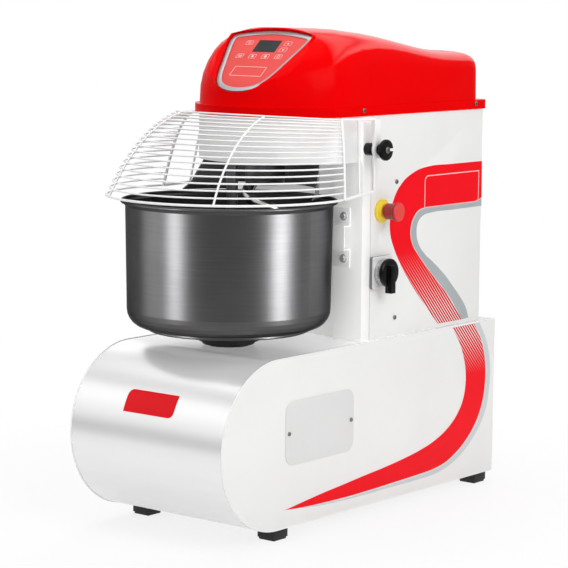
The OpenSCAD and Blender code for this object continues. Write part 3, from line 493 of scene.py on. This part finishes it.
def copyNode(node, name, flat=0.5):
    # own merged mesh of a CAD node, free of the frame; flat joins facets that lie within that many degrees
    selectOnly(nodes[node])
    bpy.ops.object.duplicate()
    piece = bpy.context.active_object
    piece.name = name
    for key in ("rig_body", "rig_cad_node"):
        del piece[key]
    bpy.ops.object.parent_clear(type="CLEAR_KEEP_TRANSFORM")
    bpy.ops.mesh.customdata_custom_splitnormals_clear()
    bpy.ops.object.mode_set(mode="EDIT")
    bpy.ops.mesh.select_all(action="SELECT")
    bpy.ops.mesh.remove_doubles(threshold=1e-5)
    if flat:
        bpy.ops.mesh.dissolve_limited(angle_limit=math.radians(flat))
    bpy.ops.object.mode_set(mode="OBJECT")
    return piece


squareOn = 0.99  # a face looks along an axis where that part of its normal is larger
# rounded sheet edge that runs round each base side; mm, degrees
bead = {"radius": 1.3, "inset": 0.6, "steps": 2, "sharpFrom": 60}
for node, label, side in (("base_side_right", "Right", 1), ("base_side_left", "Left", -1)):
    rim = copyNode(node, "sideEdge" + label)
    pick(rim, "FACE", lambda face: face.normal.x * side > squareOn)
    bpy.ops.mesh.region_to_loop()
    bpy.ops.mesh.select_all(action="INVERT")
    bpy.ops.mesh.delete(type="EDGE")
    bpy.ops.mesh.select_all(action="SELECT")
    bpy.ops.mesh.delete(type="ONLY_FACE")
    bpy.ops.mesh.select_mode(type="EDGE")
    bpy.ops.mesh.select_all(action="SELECT")
    bpy.ops.transform.translate(value=(-side * bead["inset"] / 1000, 0, 0))
    bpy.ops.object.mode_set(mode="OBJECT")
    bpy.ops.object.convert(target="CURVE")
    rim.data.bevel_depth = bead["radius"] / 1000
    rim.data.bevel_resolution = bead["steps"]
    bpy.ops.object.convert(target="MESH")
    smooth(rim, bead["sharpFrom"])
    hangOn(rim, "frame", "dippedWire", "white_paint")
print("base edges made")

# sheet, moulded and turned pieces: the CAD's form with its edges broken; name, finish, radius in mm, steps
edge = {"steps": 2, "bevelFrom": 40, "sharpFrom": 35}
dressed = {
    "base_side_right": ("baseSideRight", "whitePowderCoat", 0.7, 2),
    "base_side_left": ("baseSideLeft", "whitePowderCoat", 0.7, 2),
    "base_access_cover": ("accessCover", "greyPowderCoat", 0.6, 2),
    "base_rear_cover": ("baseRearCover", "whitePowderCoat", 0.5, 2),
    "column_front": ("columnFront", "whitePowderCoat", 0.6, 2),
    "column_side_right": ("columnSideRight", "whitePowderCoat", 0.6, 2),
    "column_side_left": ("columnSideLeft", "whitePowderCoat", 0.6, 2),
    "column_rear_cover": ("columnRearCover", "whitePowderCoat", 0.5, 2),
    "feet": ("rubberFeet", "footRubber", 1.2, 2),
    "roller_bracket": ("rollerBracket", "whitePowderCoat", 0.8, 2),
    "guard_arms": ("guardArms", "dippedWire", 0.9, 2),
    "guard_cams": ("guardCams", "blackNylon", 1.0, 2),
    "guard_pivots": ("guardPivots", "blackNylon", 0.6, 2),
    "estop_collar": ("stopCollar", "yellowNylon", 0.6, 2),
    "estop_button": ("stopButton", "redButton", 1.0, 3),
    "switch_plate": ("switchPlate", "satinPlate", 1.4, 3),
    "switch_collar": ("switchCollar", "turnedSteel", 0.8, 2),
    "switch_knob": ("switchKnob", "blackNylon", 1.6, 3),
    "guide_roller": ("guideRoller", "blackNylon", 0.6, 2),
    "cable_gland": ("cableGland", "blackNylon", 0.6, 2),
    "bowl_hub": ("bowlHub", "castIron", 1.0, 2),
    "spiral_hub": ("spiralHub", "rolledStainless", 0.8, 2),
}
# pieces of these that a fill reaches
litBy = {"recessFill": ("column_front", "roller_bracket"), "sheetFill": ("column_front", "spiral_hub")}
for node, (name, material, radius, steps) in dressed.items():
    piece = copyNode(node, name)
    breakEdges(piece, radius, steps, edge["bevelFrom"])
    smooth(piece, edge["sharpFrom"])
    hangOn(piece, nodes[node]["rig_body"], material, slotOf[node], node)
    for lampName, lit in litBy.items():
        if node in lit:
            fillGroups[lampName].objects.link(piece)
print("edges broken on", len(dressed), "pieces")

# sheet behind the spiral, whose dark grey paints the shade under the head: its two wings reach down to the
# rim, beside the hook's path, to carry that painted shade down to it; mm, degrees
wings = {"from": 95, "drop": 14, "lean": 7.0, "edge": 0.4, "bevelFrom": 60}
wingFrom = wings["from"] / 1000
sheet = copyNode("rear_shield", "rearShield")
for side in (-1, 1):
    pick(sheet, "FACE", lambda face: True)
    bpy.ops.mesh.bisect(plane_co=(side * wingFrom, 0, 0), plane_no=(1, 0, 0))
    bpy.ops.object.mode_set(mode="OBJECT")
for side in (-1, 1):
    pick(sheet, "FACE", lambda face: face.normal.z < -squareOn and face.center.x * side > wingFrom)
    bpy.ops.mesh.extrude_region_move(TRANSFORM_OT_translate={"value": (0, 0, -wings["drop"] / 1000)})
    bpy.ops.transform.rotate(value=math.radians(side * wings["lean"]), orient_axis="Z",
                             center_override=bowlMiddle)
    bpy.ops.object.mode_set(mode="OBJECT")
breakEdges(sheet, wings["edge"], edge["steps"], wings["bevelFrom"])
smooth(sheet, edge["sharpFrom"])
hangOn(sheet, "frame", "rolledStainless", slotOf["rear_shield"], "rear_shield")
fillGroups["sheetFill"].objects.link(sheet)
print("rear sheet made")


def flatShape(name, loops, thick, place):
    # closed outlines in mm on the plane of place, each point (x, y), or (x, y, True) for a corner;
    # inner loops are holes
    bpy.ops.object.select_all(action="DESELECT")
    bpy.ops.curve.primitive_bezier_curve_add()
    shape = bpy.context.active_object
    shape.name = name
    drawn = shape.data
    drawn.dimensions = "2D"
    drawn.fill_mode = "BOTH"
    drawn.extrude = thick / 2000
    drawn.resolution_u = 10  # steps between two points of a curve
    drawn.splines.clear()
    for loop in loops:
        spline = drawn.splines.new("BEZIER")
        spline.bezier_points.add(len(loop) - 1)
        spline.use_cyclic_u = True
        for point, spot in zip(spline.bezier_points, loop):
            point.co = (spot[0] / 1000, spot[1] / 1000, 0)
            point.handle_left_type = point.handle_right_type = "VECTOR" if len(spot) > 2 else "AUTO"
    bpy.ops.object.convert(target="MESH")
    shape.matrix_world = place @ Matrix.Translation((0, 0, thick / 2000))
    bpy.ops.object.transform_apply(location=True, rotation=True, scale=True)
    bpy.ops.object.mode_set(mode="EDIT")
    bpy.ops.mesh.select_all(action="SELECT")
    bpy.ops.mesh.remove_doubles(threshold=1e-6)
    bpy.ops.mesh.normals_make_consistent(inside=False)
    bpy.ops.object.mode_set(mode="OBJECT")
    return shape


def onSide(x):  # drawn x runs to the rear, drawn y up, on the side sheet at x
    return Matrix(((0, 0, 1 if x > 0 else -1, x / 1000), (1, 0, 0, 0), (0, 1, 0, 0), (0, 0, 0, 1)))


cornerSteps = 4  # straight steps in a rounded corner


def arc(x, y, r, start, sweep, steps):  # corner points on a circle, both ends included; degrees
    turns = [math.radians(start + sweep * step / steps) for step in range(steps + 1)]
    return [(x + r * math.cos(a), y + r * math.sin(a), True) for a in turns]


def roundBox(x, y, w, h, r):  # by its middle, width, height and corner radius
    spots = []
    for cx, cy, start in ((1, 1, 0), (-1, 1, 90), (-1, -1, 180), (1, -1, 270)):
        spots += arc(x + cx * (w / 2 - r), y + cy * (h / 2 - r), r, start, 90, cornerSteps)
    return spots


def halfRound(x0, y0, x1, y1, r):  # a field with two opposite corners rounded, the other two square
    lowArc = arc(x1 - r, y0 + r, r, 270, 90, cornerSteps)
    highArc = arc(x0 + r, y1 - r, r, 90, 90, cornerSteps)
    return [(x0, y0, True)] + lowArc + [(x1, y1, True)] + highArc


def figure(x, y, r, count, start):  # regular: 3 corners make a triangle, 4 a square, many a disc
    return arc(x, y, r, start, 360, count)[:-1]


# control panel in its pocket, mm: u across and v up the slope from the panel's tip; heights over the slope;
# the outline's right half from the bottom
panel = {"tip": (0, -180, 819), "slope": 41.2, "face": 5, "floor": -2, "cut": 40, "tuck": 0.02,
         "half": [(26, 0), (46, 9), (58, 21), (69, 43), (78, 70), (87.5, 100), (94, 122), (96.5, 139),
                  (94, 148), (86, 152), (68, 156), (42, 160.5)],
         "low": -3.5, "high": 163, "bezel": 9.5, "gap": 1.8, "window": (1, 121.5, 55, 33, 0.6),
         "bezelThick": 2.4, "filmThick": 1.2, "sealThick": 1.6, "windowThick": 1.0, "keyThick": 0.6,
         "bezelEdge": 0.7, "filmEdge": 0.15, "sealEdge": 0.3, "windowEdge": 0.2, "keyEdge": 0.2,
         "printThick": 0.12, "keySize": (17, 12), "keyCorner": 2.5, "holeCorner": 1.8, "line": 0.9,
         "keys": {"bars": (-46, 129), "up": (48, 129), "down": (46, 112), "posts": (-47, 92),
                  "square": (-16, 92), "disc": (15, 92.5), "ring": (46, 93)},
         "sign": 3.4, "squareSign": 3.6, "ringSign": (3.6, 2.4), "bar": (8, 1.4, 0.6), "barRise": (2, -1.5),
         "post": (1.6, 6, 0.7), "postAside": (-3, 0, 3), "signSides": (3, 4, 16, 20),
         "field": (-2, 51.5, 77, 26, 2.5), "fieldHole": (-2, 51.5, 74.6, 23.6, 1.5)}
slope = math.radians(panel["slope"])


def onPanel(lift):  # drawn x runs across, drawn y up the slope, lift mm over it
    normal = Vector((0, -math.sin(slope), math.cos(slope)))
    spot = Vector(panel["tip"]) / 1000 + normal * lift / 1000
    return Matrix(((1, 0, 0, spot.x), (0, math.cos(slope), normal.y, spot.y),
                   (0, math.sin(slope), normal.z, spot.z), (0, 0, 0, 1)))


def panelOutline(inset):  # the whole outline, moved inwards along its normals
    right = panel["half"]
    loop = [(0, panel["low"])] + right + [(0, panel["high"])] + [(-u, v) for u, v in reversed(right)]
    moved = []
    for k, spot in enumerate(loop):
        here = Vector(spot)
        before = (here - Vector(loop[k - 1])).normalized()
        after = (Vector(loop[(k + 1) % len(loop)]) - here).normalized()
        inward = Vector((-before.y - after.y, before.x + after.x)).normalized()
        reach = inset / max(0.5, inward.dot(Vector((-after.y, after.x))))  # at most twice the inset
        moved.append(tuple(here + inward * reach))
    return moved


# moulded cover: one soft skin, sharp only at the flange and the pocket; the CAD's pocket is filled by a plug,
# half an ellipse with a flat arch over it, and cut again to the panel's outline
skin = {"plugWide": 102, "plugTall": 140, "plugMiddle": 136, "plugStep": 10,
        "plugArch": [(102, 149, True), (60, 162), (0, 168), (-60, 162), (-102, 149, True)],
        "radius": 1.6, "steps": 3, "bevelFrom": 48, "sharpFrom": 40}
cover = copyNode("head_cover", "headCover", flat=0.05)
turns = [math.radians(a) for a in range(-90, 91, skin["plugStep"])]
plugEdge = [(skin["plugWide"] * math.sin(a), skin["plugMiddle"] - skin["plugTall"] * math.cos(a))
            for a in turns]
plug = flatShape("pocketPlug", [plugEdge + skin["plugArch"]], panel["face"], onPanel(-panel["tuck"]))
applyModifier(cover, "BOOLEAN", object=plug, operation="UNION", solver="EXACT")
bpy.data.objects.remove(plug)
pocket = flatShape("pocketCut", [panelOutline(-panel["gap"])], panel["cut"], onPanel(panel["floor"]))
applyModifier(cover, "BOOLEAN", object=pocket, operation="DIFFERENCE", solver="EXACT")
bpy.data.objects.remove(pocket)
breakEdges(cover, skin["radius"], skin["steps"], skin["bevelFrom"])
smooth(cover, skin["sharpFrom"])
hangOn(cover, "frame", "redAbs", slotOf["head_cover"], "head_cover")


def panelPiece(name, loops, thick, lift, radius, material, slot, *stands):  # lift is over the pocket's floor
    piece = flatShape(name, loops, thick, onPanel(panel["floor"] + lift))
    breakEdges(piece, radius, edge["steps"], edge["bevelFrom"])
    smooth(piece, edge["sharpFrom"])
    hangOn(piece, "frame", material, slot, *stands)


filmTop = panel["filmThick"]
keyTop = filmTop + panel["keyThick"]
keys = panel["keys"]
keyWide, keyTall = panel["keySize"]
holeWide, holeTall = keyWide - 2 * panel["line"], keyTall - 2 * panel["line"]
keyBoxes = [roundBox(u, v, keyWide, keyTall, panel["keyCorner"]) for u, v in keys.values()]
keyHoles = [roundBox(u, v, holeWide, holeTall, panel["holeCorner"]) for u, v in keys.values()]
window = roundBox(*panel["window"])
bezelRing = [panelOutline(0), panelOutline(panel["bezel"])]
filmSheet = [panelOutline(panel["bezel"] + panel["tuck"]), window]
sealRing = [panelOutline(-panel["gap"]), panelOutline(-panel["tuck"])]
panelPiece("panelBezel", bezelRing, panel["bezelThick"], 0, panel["bezelEdge"],
           "brushedAluminium", slotOf["control_bezel"], "control_bezel")
panelPiece("panelFilm", filmSheet, filmTop, 0, panel["filmEdge"],
           "polyesterFilm", slotOf["control_overlay"], "control_overlay")
panelPiece("panelSeal", sealRing, panel["sealThick"], 0, panel["sealEdge"], "footRubber", "black_plastic")
panelPiece("displayWindow", [window], panel["windowThick"], 0, panel["windowEdge"],
           "tintedWindow", slotOf["display_window"], "display_window")
panelPiece("filmKeys", keyBoxes, panel["keyThick"], filmTop, panel["keyEdge"],
           "polyesterFilm", slotOf["control_keys"], "control_keys")

# printed lines: a frame and a plain sign on each key, and a bare framed field
barsAt, barsUp = keys["bars"]
postsAt, postsUp = keys["posts"]
threeSides, fourSides, discSides, ringSides = panel["signSides"]
signs = [figure(*keys["up"], panel["sign"], threeSides, 90),
         figure(*keys["down"], panel["sign"], threeSides, 270),
         figure(*keys["square"], panel["squareSign"], fourSides, 45),
         figure(*keys["disc"], panel["sign"], discSides, 0)]
signs += [figure(*keys["ring"], radius, ringSides, 0) for radius in panel["ringSign"]]
signs += [roundBox(barsAt, barsUp + rise, *panel["bar"]) for rise in panel["barRise"]]
signs += [roundBox(postsAt + aside, postsUp, *panel["post"]) for aside in panel["postAside"]]
prints = {"keyFrames": ([loop for pair in zip(keyBoxes, keyHoles) for loop in pair], keyTop),
          "keySigns": (signs, keyTop),
          "filmField": ([roundBox(*panel["field"]), roundBox(*panel["fieldHole"])], filmTop)}
for name, (loops, lift) in prints.items():
    ink = flatShape(name, loops, panel["printThick"], onPanel(panel["floor"] + lift + panel["tuck"]))
    hangOn(ink, "frame", "paleInk", "wire_white")
print("cover and panel made")

# bars bent from wire and rod, with a smooth skin; the guard's thin wires are also made round;
# name, body, finish, mm added to the radius, because the rounding takes about as much off
bent = {"flatTo": 40, "skewTo": 60, "sharpFrom": 60}
wires = {"guard_wires": ("guardWires", "guard", "dippedWire", 0.28),
         "guard_frame": ("guardFrame", "guard", "dippedWire", 0.0),
         "spiral_hook": ("spiralHook", "spiral", "polishedStainless", 0.0)}
for node, (name, body, material, fuller) in wires.items():
    piece = copyNode(node, name, flat=0)
    bpy.ops.object.mode_set(mode="EDIT")
    bpy.ops.mesh.select_all(action="SELECT")
    bpy.ops.mesh.tris_convert_to_quads(face_threshold=math.radians(bent["flatTo"]),
                                       shape_threshold=math.radians(bent["skewTo"]))
    if fuller:
        bpy.ops.transform.shrink_fatten(value=fuller / 1000)
    bpy.ops.object.mode_set(mode="OBJECT")
    if fuller:
        applyModifier(piece, "SUBSURF", levels=1, render_levels=1)
    smooth(piece, bent["sharpFrom"])
    hangOn(piece, body, material, slotOf[node], node)
print("wires made:", len(wires))

# nodes that keep their CAD mesh
carried = {
    "base_wrap": "satinStainless", "head_skirt": "paleLitStainless", "head_floor": "satinStainless",
    "bowl_shell": "spunStainless", "breaker_bar": "shadedStainless", "roller_bolts": "satinStainless",
    "roller_pin": "turnedSteel", "bowl_bearings": "turnedSteel", "bowl_bearing_housing": "castIron",
    "bowl_shaft": "turnedSteel", "bowl_pulley": "castIron", "spiral_bearings": "turnedSteel",
    "spiral_bearing_housing": "castIron", "spiral_pulley": "castIron", "lay_bearings": "turnedSteel",
    "lay_bearing_plates": "zincPlate", "lay_shaft": "turnedSteel", "lay_pulleys": "castIron",
    "motor_body": "motorEnamel", "motor_plate": "zincPlate", "motor_shaft": "turnedSteel",
    "drive_belts": "footRubber", "control_box": "zincPlate",
}
for node, material in carried.items():
    nodes[node].data.materials[0] = finish[material]
spunGroup.objects.link(nodes["bowl_shell"])
for node in ("head_skirt", "base_wrap"):
    fillGroups["recessFill"].objects.link(nodes[node])
fillGroups["underFill"].objects.link(nodes["base_wrap"])
print("CAD nodes finished:", len(carried))

# pan-head screw with a cross recess, modelled once and copied to each CAD screw; mm, turns in radians
screw = {"radius": 4.0, "high": 2.4, "sides": 28, "crown": 1.3, "crownSteps": 3, "slotLong": 4.6,
         "slotWide": 1.1, "slotDeep": 1.3, "firstTurn": 0.5, "nextTurn": 0.7}
bpy.ops.object.select_all(action="DESELECT")
bpy.ops.mesh.primitive_cylinder_add(vertices=screw["sides"], radius=screw["radius"] / 1000,
                                    depth=screw["high"] / 1000, location=(0, 0, screw["high"] / 2000))
screwHead = bpy.context.active_object
bpy.ops.object.transform_apply(location=True, rotation=True, scale=True)
pick(screwHead, "EDGE",
     lambda line: all(screwHead.data.vertices[i].co.z > screw["high"] / 2000 for i in line.vertices))
bpy.ops.mesh.bevel(offset=screw["crown"] / 1000, segments=screw["crownSteps"], affect="EDGES")
bpy.ops.object.mode_set(mode="OBJECT")
for angle in (0, math.pi / 2):  # a cube of 1 mm, scaled to each slot
    bpy.ops.object.select_all(action="DESELECT")
    bpy.ops.mesh.primitive_cube_add(size=0.001, location=(0, 0, screw["high"] / 1000), rotation=(0, 0, angle))
    cutter = bpy.context.active_object
    cutter.scale = (screw["slotLong"], screw["slotWide"], screw["slotDeep"] * 2)
    bpy.ops.object.transform_apply(location=True, rotation=True, scale=True)
    applyModifier(screwHead, "BOOLEAN", object=cutter, operation="DIFFERENCE", solver="EXACT")
    bpy.data.objects.remove(cutter)
smooth(screwHead, edge["sharpFrom"])

# each node of screws with its piece's name and the share of the CAD head's width
screwNodes = {"access_cover_screws": ("accessScrews", 1.0), "column_screws": ("columnScrews", 1.0),
              "head_cover_screws": ("coverScrews", 1.0), "pivot_screws": ("pivotScrews", 0.66)}
for node, (name, share) in screwNodes.items():
    copyNode(node, name + "Loose", flat=0)
    bpy.ops.object.mode_set(mode="EDIT")
    bpy.ops.mesh.select_all(action="SELECT")
    bpy.ops.mesh.separate(type="LOOSE")
    bpy.ops.object.mode_set(mode="OBJECT")
    heads = []
    for part in list(bpy.context.selected_objects):
        low, high = Vector(part.bound_box[0]), Vector(part.bound_box[6])
        size, middle = high - low, (high + low) / 2
        # the screw points along the side that the other two, its width, leave over
        axis = min((abs(size[(k + 1) % 3] - size[(k + 2) % 3]), k) for k in range(3))[1]
        out = Vector((0, 0, 0))
        out[axis] = 1 if middle[axis] > 0 else -1
        wide = share * size[(axis + 1) % 3] / (2 * screw["radius"] / 1000)
        tall = size[axis] / (screw["high"] / 1000)
        twist = Matrix.Rotation(screw["firstTurn"] + screw["nextTurn"] * len(heads), 4, "Z")
        aimed = out.to_track_quat("Z", "Y").to_matrix().to_4x4() @ twist
        selectOnly(screwHead)
        bpy.ops.object.duplicate()
        head = bpy.context.active_object
        seat = Matrix.Translation(middle - out * size[axis] / 2)
        head.matrix_world = seat @ aimed @ Matrix.Diagonal((wide, wide, tall, 1))
        bpy.ops.object.transform_apply(location=True, rotation=True, scale=True)
        heads.append(head)
        bpy.data.objects.remove(part)
    selectOnly(*heads)
    bpy.ops.object.join()
    heads[0].name = name
    hangOn(heads[0], "frame", "zincPlate", slotOf[node], node)
    print(name, len(heads))
bpy.data.objects.remove(screwHead)

# the band that sweeps down the side sheets, cut in vinyl: a red one and its grey companion; mm, edges as
# (rearward, up), the sheets' distances from the middle plane, a bare framed field on the red
band = {
    "thick": 0.25, "columnAt": 170.02, "baseAt": 185.02, "fieldAt": 170.28, "fieldThick": 0.15,
    "field": (196, 582, 385, 646, 11), "fieldHole": (198, 584, 383, 644, 9),
    "columnOuter": [(395, 664, True), (293, 664), (202, 663), (160, 655), (119, 635), (93, 605), (83, 571),
                    (84, 541), (96, 513), (119, 479), (152, 440), (193, 399), (250, 347, True)],
    "columnInner": [(332, 347, True), (309, 373), (282, 401), (248, 430), (211, 461), (178, 491), (159, 512),
                    (151, 533), (153, 553), (165, 571), (179, 580), (197, 583, True), (372, 584, True),
                    (384, 586), (396, 590, True)],
    "columnGreyIn": [(396, 589, True), (384, 585), (372, 582.5, True), (197, 581.5, True), (180, 578.5),
                     (167, 570), (155, 552), (153, 533), (160, 513), (179, 492), (212, 462), (249, 431),
                     (283, 402), (310, 374), (333, 347, True)],
    "columnGreyOut": [(357, 348, True), (347, 369), (332, 387), (297, 420), (268, 445), (230, 472),
                      (198, 493), (178, 514), (171, 535), (175, 555), (190, 567), (222, 572), (291, 572.5),
                      (396, 573, True)],
    "baseInner": [(279, 337, True), (305, 304), (321, 273), (329, 243), (329, 214), (321, 185), (304, 161),
                  (273, 137), (227, 117), (178, 105), (112, 95), (48, 88), (-10, 83), (-72, 77), (-138, 71),
                  (-192, 65), (-251, 58, True)],
    "baseOuter": [(-192, 54), (-148, 52.5), (-60, 51), (20, 52), (95, 54), (167, 56), (222, 59), (266, 67),
                  (303, 82), (336, 102), (363, 126), (382, 152), (394, 180), (400, 212), (400, 245),
                  (393, 276), (382, 302), (357, 337, True)],
    "baseGreyIn": [(359, 337, True), (384, 302), (395, 276), (402, 245), (402, 212), (396, 180), (384, 151),
                   (364, 124), (337, 100), (304, 80), (267, 65), (222, 57), (167, 54), (95, 52), (20, 50),
                   (-60, 49), (-130, 50.5), (-200, 53, True)],
    "baseGreyOut": [(-126, 47.5), (-37, 45.5), (78, 46), (174, 46), (225, 48), (262, 54), (296, 64),
                    (329, 80), (360, 102), (386, 127), (405, 157), (415, 195), (418, 235), (413, 266),
                    (402, 297), (376, 337, True)],
}
strips = (("columnBandRed", "columnOuter", "columnInner", "columnAt", "redVinyl", "cover_red"),
          ("columnBandGrey", "columnGreyIn", "columnGreyOut", "columnAt", "greyVinyl", "pale_steel"),
          ("baseBandRed", "baseInner", "baseOuter", "baseAt", "redVinyl", "cover_red"),
          ("baseBandGrey", "baseGreyIn", "baseGreyOut", "baseAt", "paleGreyVinyl", "pale_steel"))
for side, label in ((1, "Right"), (-1, "Left")):
    for name, there, back, sheetAt, material, slot in strips:
        outline = band[there] + band[back]
        strip = flatShape(name + label, [outline], band["thick"], onSide(side * band[sheetAt]))
        hangOn(strip, "frame", material, slot)
    rimmed = [halfRound(*band["field"]), halfRound(*band["fieldHole"])]
    ink = flatShape("bandField" + label, rimmed, band["fieldThick"], onSide(side * band["fieldAt"]))
    hangOn(ink, "frame", "paleInk", "wire_white")
print("bands cut")

# plain red plate on the round nose, drawn in front of it and pressed to its curve; mm
plate = {"left": -61, "right": 59, "low": 236.5, "tall": 39, "corner": 11, "thick": 0.5,
         "cuts": 8, "before": -520, "sharpFrom": 40}
noseFace = Matrix(((1, 0, 0, 0), (0, 0, -1, plate["before"] / 1000), (0, 1, 0, 0), (0, 0, 0, 1)))
plateTop = plate["low"] + plate["tall"]
outline = halfRound(plate["left"], plate["low"], plate["right"], plateTop, plate["corner"])
nosePlate = flatShape("nosePlate", [outline], 0.0, noseFace)
for cut in range(plate["cuts"]):  # level cuts, so that the sheet can follow the curve
    height = plate["low"] + (cut + 0.5) * plate["tall"] / plate["cuts"]
    bpy.ops.object.mode_set(mode="EDIT")
    bpy.ops.mesh.select_all(action="SELECT")
    bpy.ops.mesh.bisect(plane_co=(0, plate["before"] / 1000, height / 1000), plane_no=(0, 0, 1))
    bpy.ops.object.mode_set(mode="OBJECT")
applyModifier(nosePlate, "SHRINKWRAP", target=nodes["base_wrap"], wrap_method="PROJECT", use_project_y=True,
              use_project_x=False, use_project_z=False, use_positive_direction=True,
              use_negative_direction=False, offset=0.0)
applyModifier(nosePlate, "SOLIDIFY", thickness=plate["thick"] / 1000, offset=1.0)
smooth(nosePlate, plate["sharpFrom"])
hangOn(nosePlate, "frame", "plainRedVinyl", "cover_red")
print("nose plate made")

size = {"cad": cadBox, "visual": [list(corner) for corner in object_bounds()]}
